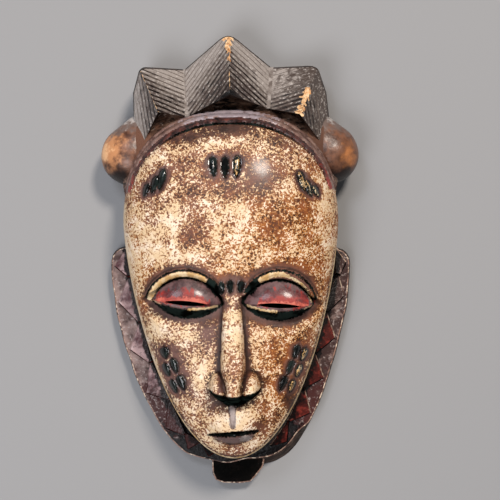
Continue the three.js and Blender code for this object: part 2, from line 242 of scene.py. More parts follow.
# %% Outline and dome
FACE_HALF = 86
FACE_WIDEST = 32
FACE_UP = 85.5
FACE_DOWN = 187.5
BROW_POWER = 2.25
CHIN_POWER = 1.48
PROBE = 0.5
LEAST_SLOPE = 0.004
RIM = {"height": 42, "more_at_crown": 18, "more_at_chin": 10}
DOME = {"chin": 80, "more_at_brow": 14, "roundness": 5, "less_at_brow": 2.4}


def out_ratio(x, y, margin=0):
    """0 in the middle of the face and 1 on its outline, grown by a margin."""
    across = np.abs(x) / (FACE_HALF + margin)
    up = np.clip(y - FACE_WIDEST, 0, None) / (FACE_UP + margin)
    down = np.clip(FACE_WIDEST - y, 0, None) / (FACE_DOWN + margin)
    upper = (across**BROW_POWER + up**BROW_POWER) ** (1 / BROW_POWER)
    lower = np.sqrt(across**2 + down**CHIN_POWER)
    return np.where(y >= FACE_WIDEST, upper, lower)


def outline_point(turn, margin=0):
    """The point of the outline at a turn in radians, grown by a margin."""
    cos, sin = np.cos(turn), np.sin(turn)
    half = FACE_HALF + margin
    round_x = half * np.sign(cos) * np.abs(cos) ** (2 / BROW_POWER)
    round_y = FACE_WIDEST + (FACE_UP + margin) * np.abs(sin) ** (2 / BROW_POWER)
    chin_y = FACE_WIDEST - (FACE_DOWN + margin) * np.abs(sin) ** (2 / CHIN_POWER)
    return np.where(sin >= 0, round_x, half * cos), np.where(sin >= 0, round_y, chin_y)


def edge_distance(x, y):
    """Millimetres outside the face's outline, and less than 0 inside it."""
    slope_x = out_ratio(x + PROBE, y) - out_ratio(x - PROBE, y)
    slope_y = out_ratio(x, y + PROBE) - out_ratio(x, y - PROBE)
    slope = np.maximum(np.hypot(slope_x, slope_y) / (2 * PROBE), LEAST_SLOPE)
    return (out_ratio(x, y) - 1) / slope


def edge_height(y):
    """How high the dome's edge stands over the floor."""
    crown, chin = smooth(y, 50, 118), 1 - smooth(y, -150, -40)
    return RIM["height"] + RIM["more_at_crown"] * crown + RIM["more_at_chin"] * chin


def dome_height(ratio, y):
    """The dome's height, from how far out a point lies."""
    ridge = DOME["chin"] + DOME["more_at_brow"] * smooth(y, -150, 60)
    roundness = DOME["roundness"] - DOME["less_at_brow"] * smooth(y, -120, 0)
    rise = np.sqrt(1 - np.clip(ratio, 0, 1) ** roundness)
    return edge_height(y) + (ridge - edge_height(y)) * rise


print("the forehead stands", float(dome_height(0.0, 40.0)), "mm over the floor")

# %% [markdown]
# ## Eyes and brows
# Each eye is an almond between two arcs. The upper lid swells and ends in a thin overhang
# at the slit, and the lower lid turns down steeply from a crest just under it. A ridge of
# brow arches over each, with a deep crevice between it and the lid. The two sides were cut
# freehand and differ a little, so each has its own values.

# %% Values of the eyes and brows
EYES = [
    {"x": -34.5, "y": -29.0, "tilt": -4.5, "inner": 1, "arch": 10.0, "coral": 0.42},
    {"x": 36.0, "y": -32.0, "tilt": -2.5, "inner": -1, "arch": 12.5, "coral": 0.22},
]
EYE_HALF = 27
UPPER_ARC = (-12.0, 29.6)
LOWER_ARC = (23.4, 35.8)
CREST_RADIUS = 75
SLIT = {"y": -1.5, "half_length": 16.3, "half_width": 1.9}
LID = {"base": 80, "swell": 8.2, "overhang": 2.2, "upper_fall": 6.5, "lower_fall": 9.0}
BROWS = [
    {"x": -36.5, "y": -38.0, "radius": 34.7, "inner": 1, "inner_end": 30, "outer_end": 163,
     "thinned": 0},
    {"x": 37.0, "y": -36.0, "radius": 31.3, "inner": -1, "inner_end": 30, "outer_end": 172,
     "thinned": 2.3},
]
BROW_WIDTH = 7.4
BROW = {"step": 2.0, "swell": 0.8, "fall": 2.4, "fade": 12}


def eye_frame(x, y, eye):
    """Millimetres along and above the line through the eye's two corners."""
    cos, sin = math.cos(math.radians(eye["tilt"])), math.sin(math.radians(eye["tilt"]))
    along, above = x - eye["x"], y - eye["y"]
    return cos * along + sin * above, cos * above - sin * along


def almond(along, above):
    """Millimetres outside the almond, and less than 0 inside it."""
    upper = np.hypot(along, above - UPPER_ARC[0]) - UPPER_ARC[1]
    lower = np.hypot(along, above - LOWER_ARC[0]) - LOWER_ARC[1]
    return np.maximum(upper, lower)


def crest_line(along):
    """How high the lower lid's crest lies, seen from the front."""
    sag = np.sqrt(CREST_RADIUS**2 - EYE_HALF**2)
    return sag - np.sqrt(CREST_RADIUS**2 - np.clip(along, -60, 60) ** 2)


def lid_height(along, above):
    """The height of both lids over the floor."""
    fullness = np.sqrt(np.clip(1 - (along / (EYE_HALF + 0.6)) ** 2, 0, 1))
    crest = crest_line(along)
    upper = UPPER_ARC[0] + np.sqrt(np.clip(UPPER_ARC[1] ** 2 - along**2, 1, None))
    lower = LOWER_ARC[0] - np.sqrt(np.clip(LOWER_ARC[1] ** 2 - along**2, 1, None))
    up = np.clip((above - crest) / np.maximum(upper - crest, 0.5), 0, 1)
    down = np.clip((crest - above) / np.maximum(crest - lower, 0.5), 0, 1)
    overhang = smooth(above, SLIT["y"] - 1.2, SLIT["y"] + 0.4)
    upper_lid = LID["swell"] + LID["overhang"] * overhang - LID["upper_fall"] * up**2.2
    lower_lid = LID["swell"] - LID["lower_fall"] * down**1.3
    return LID["base"] + fullness * np.where(above > crest, upper_lid, lower_lid)


def brow_frame(x, y, brow):
    """Millimetres in from the brow's outer line, and the turn from the nose outwards."""
    along, above = brow["inner"] * (x - brow["x"]), y - brow["y"]
    return brow["radius"] - np.hypot(along, above), np.degrees(np.arctan2(above, along))


def brow_reach(turn, brow):
    """1 along the brow, fading to 0 at both ends."""
    begins = smooth(turn, brow["inner_end"], brow["inner_end"] + BROW["fade"])
    ends = smooth(turn, brow["outer_end"] - BROW["fade"], brow["outer_end"])
    return begins * (1 - ends)


def brow_relief(depth):
    """The brow's section: a step up at its outer line, a swell, and a fall to the lid."""
    step_up = BROW["step"] * smooth(depth, -0.3, 0.9)
    swell = BROW["swell"] * smooth(depth, 0.5, 3.4)
    fall = BROW["fall"] * smooth(depth, 3.6, BROW_WIDTH)
    return (step_up + swell - fall) * (1 - smooth(depth, BROW_WIDTH - 0.3, BROW_WIDTH + 0.4))


print("each eye is", 2 * EYE_HALF, "mm from corner to corner")

# %% [markdown]
# ## Nose and mouth
# The nose is a long straight bar with rounded shoulders, which ends in a flat tip between
# two wings and is cut off steeply underneath. The mouth is a dark cut on a low muzzle, with
# a half-moon of lower lip, and a tapering groove runs down to it from the nose.

# %% Relief of the nose and mouth
NOSE = {"root": -17, "tip": -101.8, "length": 84, "middle": 0.4, "half": 7.3, "flare": 4.0,
        "root_height": 88.5, "rise": 16.0, "squareness": 2.8, "undercut": 3.4}
WINGS = [{"x": -10.4, "y": -97.0, "across": 8.6}, {"x": 12.8, "y": -96.6, "across": 9.0}]
WING = {"height": 98.5, "up": 12.5}
CREASES = [((-9.6, -81.0), (-6.8, -100)), ((10.0, -81.0), (7.4, -99))]
CREASE = {"depth": 1.9, "half": 1.9}
BEVEL = 1.2
UNDERSIDE_OF_NOSE = {"sag": 5.0, "x": 1.5, "half": 20}
MUZZLE = {"y": -125, "across": 27, "up": 21, "height": 6.5}
MOUTH = {"left": (-19.9, -134.3), "right": (19.4, -131.7), "half_width": 1.3, "depth": 3.2}
LIP = {"down": 8.6, "height": 2.4}
PHILTRUM = {"x": -0.9, "top": -104, "foot": -129.5, "length": 17, "half": 3.2, "depth": 1.6}


def line_frame(x, y, start, end):
    """How far along a line a point lies, 0 to 1, and how far to its left, in millimetres."""
    run, rise = end[0] - start[0], end[1] - start[1]
    length = math.hypot(run, rise)
    along = ((x - start[0]) * run + (y - start[1]) * rise) / length**2
    return along, ((y - start[1]) * run - (x - start[0]) * rise) / length


def nose_bottom(x):
    """Where the nose's lower edge lies, seen from the front."""
    out = np.abs((x - UNDERSIDE_OF_NOSE["x"]) / UNDERSIDE_OF_NOSE["half"])
    return NOSE["tip"] + UNDERSIDE_OF_NOSE["sag"] * out**2.6


def nose_half(y):
    """Half the width of the nose's bar, which widens downwards and draws in at the tip."""
    down = np.clip((NOSE["root"] - y) / NOSE["length"], 0, 1.2)
    return NOSE["half"] + NOSE["flare"] * down**1.4 * (1 - 1.1 * (1 - smooth(y, -96, -80)))


def nose_height(x, y, ground):
    """The bar with its two wings, less the creases between them and the cut underneath."""
    down = np.clip((NOSE["root"] - y) / NOSE["length"], 0, 1)
    ridge = NOSE["root_height"] + NOSE["rise"] * down**1.1
    out = np.clip(np.abs(x - NOSE["middle"]) / nose_half(y), 0, 1)
    power = NOSE["squareness"]
    bar = ground + (ridge - ground) * (1 - out**power) ** (1 / power)
    form = np.where(y > NOSE["root"], ground, bar)
    for wing in WINGS:
        sideways = (np.abs(x - wing["x"]) / wing["across"]) ** 2.6
        upwards = (np.clip(y - wing["y"], 0, None) / WING["up"]) ** 1.5
        flank = (WING["height"] - ground) * np.clip(1 - sideways - upwards, 0, 1) ** 0.6
        form = np.maximum(form, ground + flank)
    for start, end in CREASES:
        along, aside = line_frame(x, y, start, end)
        inside = smooth(along, -0.15, 0.15) * (1 - smooth(along, 1.1, 1.4))
        form = form - CREASE["depth"] * inside * (1 - smooth(np.abs(aside), 0.1, CREASE["half"]))
    under = nose_bottom(x) - y
    edge = np.clip(under + BEVEL, 0, 2 * BEVEL) ** 2 / (4 * BEVEL) + np.clip(under - BEVEL, 0, None)
    return np.maximum(ground, form - NOSE["undercut"] * edge)


def mouth_frame(x, y):
    """How far along the mouth a point lies, and how far above it."""
    return line_frame(x, y, MOUTH["left"], MOUTH["right"])


def mouth_relief(x, y):
    """The muzzle and lower lip less the cut between the lips."""
    out = np.hypot(x / MUZZLE["across"], (y - MUZZLE["y"]) / MUZZLE["up"])
    muzzle = MUZZLE["height"] * (1 - smooth(out, 0.35, 1.0))
    along, aside = mouth_frame(x, y)
    round_off = np.clip(1 - (2 * along - 1) ** 2, 0, 1)
    cut_half = MOUTH["half_width"] * np.sqrt(round_off)
    cut = 1 - smooth(np.abs(aside + 0.4) - cut_half, -0.3, 0.8)
    moon = LIP["down"] * round_off
    inside_lip = np.clip(-aside / np.maximum(moon, 0.3), 0, 1)
    lip = np.sqrt(np.clip(1 - inside_lip**2, 0, 1)) * (aside < 0) * smooth(moon, 0.5, 4)
    return muzzle + LIP["height"] * lip - MOUTH["depth"] * cut * (cut_half > 0)


def philtrum_depth(x, y):
    """The groove from the nose to the mouth, which narrows to its foot."""
    up = np.clip((y - PHILTRUM["foot"]) / PHILTRUM["length"], 0, 1)
    half = PHILTRUM["half"] * up**0.4
    depth = PHILTRUM["depth"] * (1 - smooth(np.abs(x - PHILTRUM["x"]) - half, -1.2, 0.2))
    return depth * (y > PHILTRUM["foot"]) * (y < PHILTRUM["top"])


print("the nose is", round(NOSE["root"] - NOSE["tip"]), "mm long")

# %% [markdown]
# ## Scars
# Rows of raised scars stand on the forehead, between the brows and on both cheeks. Each is
# a small leaf with a keel down its middle, pointed at its foot, in a shallow tray.

# %% Values of the scars
SCAR = {"height": 2.4, "tray": 0.8, "tray_width": 2.4, "sharpness": 0.45,
        "half_in_middle": 0.85, "wider_above": 0.3}
SCARS = [
    {"x": -12.2, "y": 74.1, "lean": 4, "size": 8.0, "half": 3.2},
    {"x": -3.0, "y": 73.3, "lean": 0, "size": 8.6, "half": 3.2},
    {"x": 5.9, "y": 73.8, "lean": -4, "size": 8.6, "half": 3.3, "chipped": 0.1},
    {"x": -64.8, "y": 57.4, "lean": -22, "size": 5.5, "half": 2.6},
    {"x": -58.1, "y": 61.3, "lean": -20, "size": 7.5, "half": 2.9},
    {"x": -52.3, "y": 65.2, "lean": -14, "size": 8.5, "half": 3.0},
    {"x": 55.9, "y": 61.9, "lean": 16, "size": 8.0, "half": 3.2, "chipped": 0.1},
    {"x": 61.1, "y": 56.5, "lean": 20, "size": 7.0, "half": 2.8, "chipped": 0.1},
    {"x": 66.9, "y": 54.4, "lean": 24, "size": 5.0, "half": 2.4, "chipped": 0.1},
    {"x": -7.2, "y": -19.1, "lean": 8, "size": 4.6, "half": 2.6},
    {"x": -0.8, "y": -18.3, "lean": 0, "size": 5.0, "half": 2.6},
    {"x": 7.4, "y": -18.5, "lean": -8, "size": 4.8, "half": 3.0},
    {"x": -53.1, "y": -69.6, "lean": 10, "size": 4.6, "half": 3.6},
    {"x": -51.9, "y": -83.0, "lean": 18, "size": 5.4, "half": 3.0},
    {"x": -45.6, "y": -79.8, "lean": 18, "size": 6.2, "half": 3.0},
    {"x": -46.6, "y": -96.0, "lean": 22, "size": 5.6, "half": 2.8},
    {"x": -40.4, "y": -93.0, "lean": 20, "size": 6.2, "half": 3.4},
    {"x": 49.6, "y": -70.6, "lean": -20, "size": 5.6, "half": 2.8},
    {"x": 55.6, "y": -73.0, "lean": -20, "size": 5.6, "half": 2.8, "chipped": 0.1},
    {"x": 44.8, "y": -82.4, "lean": -22, "size": 6.0, "half": 2.6},
    {"x": 51.4, "y": -85.6, "lean": -22, "size": 5.6, "half": 2.6, "chipped": 0.1},
    {"x": 38.9, "y": -94.8, "lean": -22, "size": 6.2, "half": 3.0},
    {"x": 45.7, "y": -97.6, "lean": -22, "size": 5.4, "half": 2.6, "chipped": 0.1},
]


def scar_frame(x, y, scar):
    """Millimetres inside a scar's outline, and how far across it, 0 at its keel."""
    lean = math.radians(scar["lean"])
    dx, dy = x - scar["x"], y - scar["y"]
    across = np.abs(math.cos(lean) * dx + math.sin(lean) * dy)
    up = (math.cos(lean) * dy - math.sin(lean) * dx) / scar["size"]
    pear = SCAR["half_in_middle"] + SCAR["wider_above"] * np.clip(up, -1, 1)
    width = scar["half"] * np.sqrt(np.clip(1 - up**2, 0, 1)) * pear
    inside = np.where(np.abs(up) < 1, width - across, (1 - np.abs(up)) * scar["size"] - across)
    return inside, across / np.maximum(width, 0.4)


def scar_relief(x, y):
    """The raised leaves, each in its shallow tray."""
    relief = np.zeros_like(x)
    for scar in SCARS:
        inside, across = scar_frame(x, y, scar)
        keel = 1 - SCAR["sharpness"] * np.clip(across, 0, 1)
        leaf = SCAR["height"] * smooth(inside, -0.2, 1.0) * keel
        tray = SCAR["tray"] * smooth(inside, -2.2, -0.8) * (relief <= 0)
        in_reach = inside > -SCAR["tray_width"]
        relief = np.where(in_reach, np.maximum(relief, leaf) - tray, relief)
    return relief


print(len(SCARS), "scars")

# %% [markdown]
# ## The band and the skull
# A rounded band follows the hairline from bun to bun, with a thinner cord inside it and a
# cut at the hairline, and a smooth strip of skull shows behind it under the crown.

# %% Relief of the rim
BAND = {"outer": 2.6, "inner": -4.2, "height": 2.8, "from_y": 50, "to_y": 64}
CORD = {"outer": -4.2, "inner": -7.8, "height": 1.3, "sunk": 0.4}
TAPER = {"temples": 0.66, "more_above": 0.34}
HAIRLINE = -9.2
HAIRLINE_CUT = 1.1
BEHIND_BAND = {"sunk": 2.6, "slope": 0.85}
SEAM = 0.6


def across_band(x, y):
    """The distance from the outline, stretched so that the band tapers to the temples."""
    return edge_distance(x, y) / (TAPER["temples"] + TAPER["more_above"] * smooth(y, 62, 106))


def rounded(across, strip):
    """The height of a round strip between two distances from the face's outline."""
    half = (strip["outer"] - strip["inner"]) / 2
    off = (across - strip["outer"] + half) / half
    return strip["height"] * np.sqrt(np.clip(1 - off**2, 0, 1))


def rim_height(x, y, inside):
    """The whole front: the face inside its outline, the band and skull outside it."""
    across, top = across_band(x, y), smooth(y, BAND["from_y"], BAND["to_y"])
    strips = np.maximum(rounded(across, BAND), rounded(across, CORD) - CORD["sunk"])
    groove = HAIRLINE_CUT * smooth(across, HAIRLINE - 0.9, HAIRLINE) * (across < CORD["inner"])
    inside = inside + top * (np.where(across > CORD["inner"], strips, 0) - groove)
    behind = np.clip(across - BAND["outer"], 0, None)
    skull = -BEHIND_BAND["sunk"] - BEHIND_BAND["slope"] * behind
    beyond = np.where(across < BAND["outer"], strips, skull)
    beyond = edge_height(y) + top * beyond - SEAM
    return np.where(across < 0, inside, beyond)


print("the band is", round(BAND["outer"] - BAND["inner"], 1), "mm wide")

# %% [markdown]
# ## One height for every point
# All of the relief comes together as one function: it gives the height of the front at any
# place on it. The block below asks it once for each point of its grid.

# %% The face's height
SOCKET = {"under": 5, "more_over": 5, "reach_under": 13, "less_over": 11.6}


def socket_depth(x, y):
    """How far the wood is cut back around each eye: deep and steep over it, wide under it."""
    depth = np.zeros_like(x)
    for eye in EYES:
        along, above = eye_frame(x, y, eye)
        upper = smooth(above, -3, 8)
        full = SOCKET["under"] + SOCKET["more_over"] * upper
        reach = SOCKET["reach_under"] - SOCKET["less_over"] * upper
        near = 1 - smooth(almond(along, above), 0.25 * reach, reach)
        depth = np.maximum(depth, full * near)
    return depth


def face_height(x, y):
    """The height of the face alone, without its rim."""
    ground = dome_height(out_ratio(x, y), y)
    height = ground + mouth_relief(x, y) - philtrum_depth(x, y) - socket_depth(x, y)
    for brow in BROWS:
        depth, turn = brow_frame(x, y, brow)
        height = height + brow_relief(depth) * brow_reach(turn, brow)
    for eye in EYES:
        along, above = eye_frame(x, y, eye)
        height = np.where(almond(along, above) < 0, lid_height(along, above), height)
    height = nose_height(x, y, height)
    return height + scar_relief(x, y)


def front_height(x, y):
    """The height of the whole front, rim and all."""
    return rim_height(x, y, face_height(x, y))


nose_tip = front_height(np.array([NOSE["middle"]]), np.array([NOSE["tip"] + 3]))
print("the nose tip stands", round(float(nose_tip[0]), 1), "mm high")

# %% [markdown]
# ## The block
# The block starts as a flat grid. Its square is rounded into a disc and the disc pulled out
# to the outline, which keeps the squares nearly even all over. Each point is then lifted to
# its height, the border is extruded down to the floor, and the bottom is closed.

# %% Spread a grid over an outline
MIDDLE = (0.0, -20.0)
SPREAD = (86.0, 137.0)
CROWDING = {"share": 0.06, "power": 16}
SKULL_OUT = {"behind_band": 4.9, "more_at_crown": 15}


def outline_table(margin_at):
    """Turns and radii of an outline around the block's middle, for any margin."""
    turns = np.linspace(0, 2 * math.pi, 1441)[:-1]
    x, y = outline_point(turns, margin_at(turns))
    across, up = (x - MIDDLE[0]) / SPREAD[0], (y - MIDDLE[1]) / SPREAD[1]
    bearing, radius = np.arctan2(up, across), np.hypot(across, up)
    order = np.argsort(bearing)
    return bearing[order], radius[order]


def skull_margin(turns):
    """How far the skull stands out behind the band."""
    rise = np.sin(turns)
    beside, above = smooth(rise, 0.2, 0.34), smooth(rise, 0.34, 0.85)
    return SKULL_OUT["behind_band"] * beside + SKULL_OUT["more_at_crown"] * above


def spread(u, v, table):
    """Moves a square's points, -1 to 1, into an outline, a little closer near its edge."""
    disc_x, disc_y = u * np.sqrt(1 - v**2 / 2), v * np.sqrt(1 - u**2 / 2)
    ratio, bearing = np.hypot(disc_x, disc_y), np.arctan2(disc_y, disc_x)
    share = CROWDING["share"]
    ratio = (1 + share) * ratio - share * ratio ** CROWDING["power"]
    radius = ratio * np.interp(bearing, *table, period=2 * math.pi)
    x = MIDDLE[0] + SPREAD[0] * radius * np.cos(bearing)
    return x, MIDDLE[1] + SPREAD[1] * radius * np.sin(bearing)


def coordinates(form):
    """Three arrays: every point's x, y and z."""
    return np.array([v.co for v in form.verts]).T


def place(form, x, y, z):
    """Puts every point where the arrays say."""
    for vertex, spot in zip(form.verts, zip(x, y, z)):
        vertex.co = spot


def close_down(form, levels, finish, bottom_finish):
    """Extrudes the border of a sheet down through the levels and closes it."""
    for level in levels:
        border = [e for e in form.edges if e.is_boundary]
        walls = bmesh.ops.extrude_edge_only(form, edges=border)["geom"]
        for item in walls:
            if isinstance(item, bmesh.types.BMVert):
                item.co.z = level(item.co)
            if isinstance(item, bmesh.types.BMFace):
                item.material_index = finish
    border = [e for e in form.edges if e.is_boundary]
    bottom = bmesh.ops.contextual_create(form, geom=border)["faces"]
    for face in bottom:
        face.material_index = bottom_finish


# %% Carve the block
BAND_FROM = 56
BORDER_STEP = 2.5

block = bmesh.new()
bmesh.ops.create_grid(block, x_segments=190, y_segments=300, size=1)
u, v, _ = coordinates(block)
x, y = spread(u, v, outline_table(skull_margin))
place(block, x, y, front_height(x, y))
for face in block.faces:
    centre = face.calc_center_median()
    across = across_band(np.array(centre.x), np.array(centre.y))
    if centre.y > BAND_FROM:
        edges = (HAIRLINE + 1, CORD["outer"], BAND["outer"] + 0.4)
        face.material_index = (FACE, CORDED, ROLL, SKULL)[int(np.searchsorted(edges, across))]
close_down(block, [lambda co: co.z - BORDER_STEP, lambda co: 0], SIDE, ADZED)
mask = part("mask_of_carved_wood", block)
print("the block has", len(mask.data.polygons), "faces")

# %% [markdown]
# ## The crown
# Each lobe of the crown is a ridge between two flat facets that fall to the valleys. Half a
# lobe is the convex hull of a few points: the ridge's two ends, the valley's two ends, and
# the same spots at the back. The gouge then cut grooves across each facet at a slant, like
# the barbs of a feather: each is cut with a bar of a rounded V section that wanders a little,
# as a hand does, and grows shallower towards the rim.

# %% Points of the crown
LOBES = {
    "left": {"tip": (-71.6, 158.0, 51), "prow": (-54.9, 118.5, 72), "round": 7},
    "middle": {"tip": (0.2, 186.0, 42), "prow": (1.6, 130.3, 82), "round": 10,
               "blunt": (0, 134.6, 78.9)},
    "right": {"tip": (72.8, 158.0, 41), "prow": (55.7, 115.0, 72), "round": 8},
}
VALLEYS = {
    "far_left": {"top": (-77.6, 119.0), "foot": (-68.9, 96.1, 48), "swell": (-77.6, 138)},
    "left": {"top": (-35.6, 159.0), "foot": (-33.0, 115.6, 58)},
    "right": {"top": (35.0, 158.8), "foot": (31.1, 121.2, 58)},
    "far_right": {"top": (81.6, 114.6), "foot": (72.3, 95.6, 48), "swell": (79.2, 137)},
}
HALVES = [
    {"lobe": "left", "valley": "far_left", "side": -1, "slant": 14, "pitch": 2.8},
    {"lobe": "left", "valley": "left", "side": 1, "slant": 46, "pitch": 3.5},
    {"lobe": "middle", "valley": "left", "side": -1, "slant": 38, "pitch": 3.0},
    {"lobe": "middle", "valley": "right", "side": 1, "slant": 46, "pitch": 3.4},
    {"lobe": "right", "valley": "right", "side": -1, "slant": 54, "pitch": 3.4},
    {"lobe": "right", "valley": "far_right", "side": 1, "slant": 30, "pitch": 2.8},
]
UNDERCUT = 6
CHAMFER = {"in": 3.2, "down": 8}
BLUNT_NORMAL = (0, -0.55, 0.84)
ROUNDING = [(0, 0.44), (0.25, 0.25), (0.6, 0.07), (1, 0)]
GROOVE_SECTION = [(-1.35, 0.5), (-0.95, -0.45), (0, -1.5), (0.95, -0.45), (1.35, 0.5)]
GROOVE = {"reach": 74, "joints": 15, "sway": 0.9, "tremble": 0.25, "heave": 0.8, "bump": 0.5,
          "shallower": 1.1}
FADE_BELOW = 53


def hull(points, finish):
    """The convex hull of a few points, as a closed bmesh."""
    form = bmesh.new()
    for spot in points:
        form.verts.new(spot)
    found = bmesh.ops.convex_hull(form, input=form.verts)
    loose = [item for item in found["geom_interior"] if isinstance(item, bmesh.types.BMVert)]
    bmesh.ops.delete(form, geom=loose, context="VERTS")
    for face in form.faces:
        face.material_index = finish
    return form


def on_plane(corners, x, y):
    """The point over (x, y) on the plane through three corners."""
    normal = (corners[1] - corners[0]).cross(corners[2] - corners[0])
    drop = (normal.x * (x - corners[0].x) + normal.y * (y - corners[0].y)) / normal.z
    return Vector((x, y, corners[0].z - drop))


def bar(start, along, outward, section_points, finish):
    """One wandering bar with the given section, from start along a facet."""
    form = bmesh.new()
    aside = along.cross(outward)
    section = form.faces.new([
        form.verts.new(start + aside * across + outward * up) for across, up in section_points])
    stride = along * (2 * GROOVE["reach"] / GROOVE["joints"])
    for joint in range(GROOVE["joints"]):
        pushed = bmesh.ops.extrude_face_region(form, geom=[section])["geom"]
        moved = [item for item in pushed if isinstance(item, bmesh.types.BMVert)]
        bmesh.ops.translate(form, verts=moved, vec=stride)
        if joint > 0:
            bmesh.ops.delete(form, geom=[section], context="FACES_ONLY")
        section = [item for item in pushed if isinstance(item, bmesh.types.BMFace)][0]
    for vertex in form.verts:
        sway = noise.noise(vertex.co / 16)
        fade = GROOVE["shallower"] * float(smooth(FADE_BELOW - vertex.co.z, 0, 9))
        shallow = fade + GROOVE["heave"] * noise.noise(vertex.co / 26)
        lift = shallow + GROOVE["bump"] * noise.noise(vertex.co / 9)
        vertex.co += aside * GROOVE["sway"] * sway + outward * lift
        vertex.co += aside * GROOVE["tremble"] * noise.noise(vertex.co / 4)
    return part("bar", form, finish)


# %% Build the lobes
ON_FACET = 0.98
UPRIGHT = 0.3


def half_lobe(lobe, valley, side, slant, pitch):
    """One facet of a lobe with the wood behind it, and its grooves."""
    tip, prow, foot = Vector(lobe["tip"]), Vector(lobe["prow"]), Vector(valley["foot"])
    facet = (tip, prow, foot)
    top = on_plane(facet, *valley["top"])
    rounding = lobe["round"] / (top - tip).length
    back_down = lobe["round"] / (prow - tip).length
    rim = [tip + (top - tip) * s * rounding + (prow - tip) * d * back_down for s, d in ROUNDING]
    if "swell" in valley:
        rim.append(on_plane(facet, *valley["swell"]))
    drawn_in = [corner.lerp(prow, CHAMFER["in"] / (prow - corner).length) for corner in rim]
    drawn_in.append(top.lerp(foot, CHAMFER["in"] / (foot - top).length))
    rim.append(top)
    shoulders = [Vector((c.x, c.y, c.z - CHAMFER["down"])) for c in rim]
    backs = [Vector((c.x, c.y, 0)) for c in rim]
    undercut = [Vector((c.x, c.y + UNDERCUT, 0)) for c in (prow, foot)]
    form = hull(drawn_in + [prow, foot] + shoulders + backs + undercut, DUSTY)
    if "blunt" in lobe:
        bmesh.ops.bisect_plane(
            form, geom=list(form.verts) + list(form.edges) + list(form.faces),
            plane_co=lobe["blunt"], plane_no=BLUNT_NORMAL, clear_outer=True)
        border = [e for e in form.edges if e.is_boundary]
        for face in bmesh.ops.holes_fill(form, edges=border)["faces"]:
            face.material_index = SKULL
    outward = ((prow - tip).cross(foot - tip) * side).normalized()
    bmesh.ops.recalc_face_normals(form, faces=form.faces)
    for face in form.faces:
        if face.normal.dot(outward) > ON_FACET:
            face.material_index = LOBE
        elif abs(face.normal.z) < UPRIGHT:
            face.material_index = SIDE
    wood = part("half_lobe", form)
    ridge = Vector((prow.x - tip.x, prow.y - tip.y)).normalized()
    plan = Matrix.Rotation(side * math.radians(slant), 2) @ ridge
    ahead = on_plane(facet, tip.x + plan.x, tip.y + plan.y) - tip
    across = on_plane(facet, tip.x + plan.y * pitch, tip.y - plan.x * pitch) - tip
    along = ahead.normalized()
    count = int(GROOVE["reach"] / pitch)
    for i in range(-count, count):
        start = tip + across * (i + 0.5) - along * GROOVE["reach"]
        wood = carve(wood, bar(start, along, outward, GROOVE_SECTION, GOUGED), "DIFFERENCE")
    return wood


for half in HALVES:
    lobe, valley = LOBES[half["lobe"]], VALLEYS[half["valley"]]
    wood = half_lobe(lobe, valley, half["side"], half["slant"], half["pitch"])
    mask = carve(mask, wood, "UNION")
print("with the crown the mesh has", len(mask.data.polygons), "faces")

# %% Wear its ridges and chip them
RIDGE_SECTION = [(-1.0, 1.0), (-0.8, -0.35), (0.8, -0.35), (1.0, 1.0)]
VALLEY_SECTION = [(-1.7, 0.7), (1.7, 0.7), (0, -4)]
VALLEY_STARTS = 0.03
CHIPS = [
    {"lobe": "middle", "down": 0.11, "wide": 4.4, "long": 4.6},
    {"lobe": "middle", "down": 0.21, "wide": 2.6, "long": 5.0},
    {"lobe": "middle", "down": 0.33, "wide": 2.3, "long": 6.0},
    {"lobe": "middle", "down": 0.45, "wide": 1.5, "long": 5.0},
    {"lobe": "right", "down": 0.56, "wide": 3.4, "long": 4.0},
    {"lobe": "right", "down": 0.65, "wide": 5.4, "long": 3.8},
    {"lobe": "right", "down": 0.76, "wide": 2.2, "long": 4.4},
    {"lobe": "right", "down": 0.87, "wide": 3.2, "long": 3.6},
    {"lobe": "right", "down": 0.97, "wide": 4.4, "long": 3.6},
]
CHIP = {"sunk": 1.6, "deep": 2.6, "ragged": 1.0, "lumps": 1.7}

for lobe in LOBES.values():
    tip, prow = Vector(lobe["tip"]), Vector(lobe["prow"])
    along = (prow - tip).normalized()
    outward = Vector((0, 0, 1)) - along * along.z
    start = (tip + prow) / 2 - along * GROOVE["reach"]
    worn_away = bar(start, along, outward.normalized(), RIDGE_SECTION, BARE)
    mask = carve(mask, worn_away, "DIFFERENCE")
for name in ("left", "right"):
    tip, prow = Vector(LOBES[name]["tip"]), Vector(LOBES[name]["prow"])
    foot = Vector(VALLEYS[name]["foot"])
    top = on_plane((tip, prow, foot), *VALLEYS[name]["top"])
    floor_points = []
    for end in (top.lerp(foot, VALLEY_STARTS), foot):
        floor_points.extend(end + Vector((aside, 0, up)) for aside, up in VALLEY_SECTION)
    mask = carve(mask, part("valley", hull(floor_points, DUSTY)), "UNION")
for chip in CHIPS:
    tip, prow = Vector(LOBES[chip["lobe"]]["tip"]), Vector(LOBES[chip["lobe"]]["prow"])
    middle = tip.lerp(prow, chip["down"]) - Vector((0, 0, CHIP["sunk"]))
    flake = bmesh.new()
    bmesh.ops.create_icosphere(flake, subdivisions=3, radius=1)
    for vertex in flake.verts:
        ragged = 1 + CHIP["ragged"] * noise.noise(vertex.co * CHIP["lumps"] + middle)
        size = Vector((chip["wide"], chip["long"], CHIP["deep"]))
        vertex.co = middle + vertex.co * size * ragged
    mask = carve(mask, part("chip", flake, BARE), "DIFFERENCE")
print(len(CHIPS), "chips along the ridges")

# %% [markdown]
# ## Buns, ruff and tab
# The bun at each temple is a ball that a neck ties to the crown, so it is the convex hull of
# a ball and a smaller one. The ruff is a flat collar: a disc drawn to its outline and
# extruded, wider at the back than at the front. Its teeth are low wedges that zigzag between
# the collar's edge and the jaw, and each ends in a hard step. Dark red stayed in the steps on
# the left, and red earth was rubbed over the teeth on the right. A small tab ends the ruff
# under the chin.

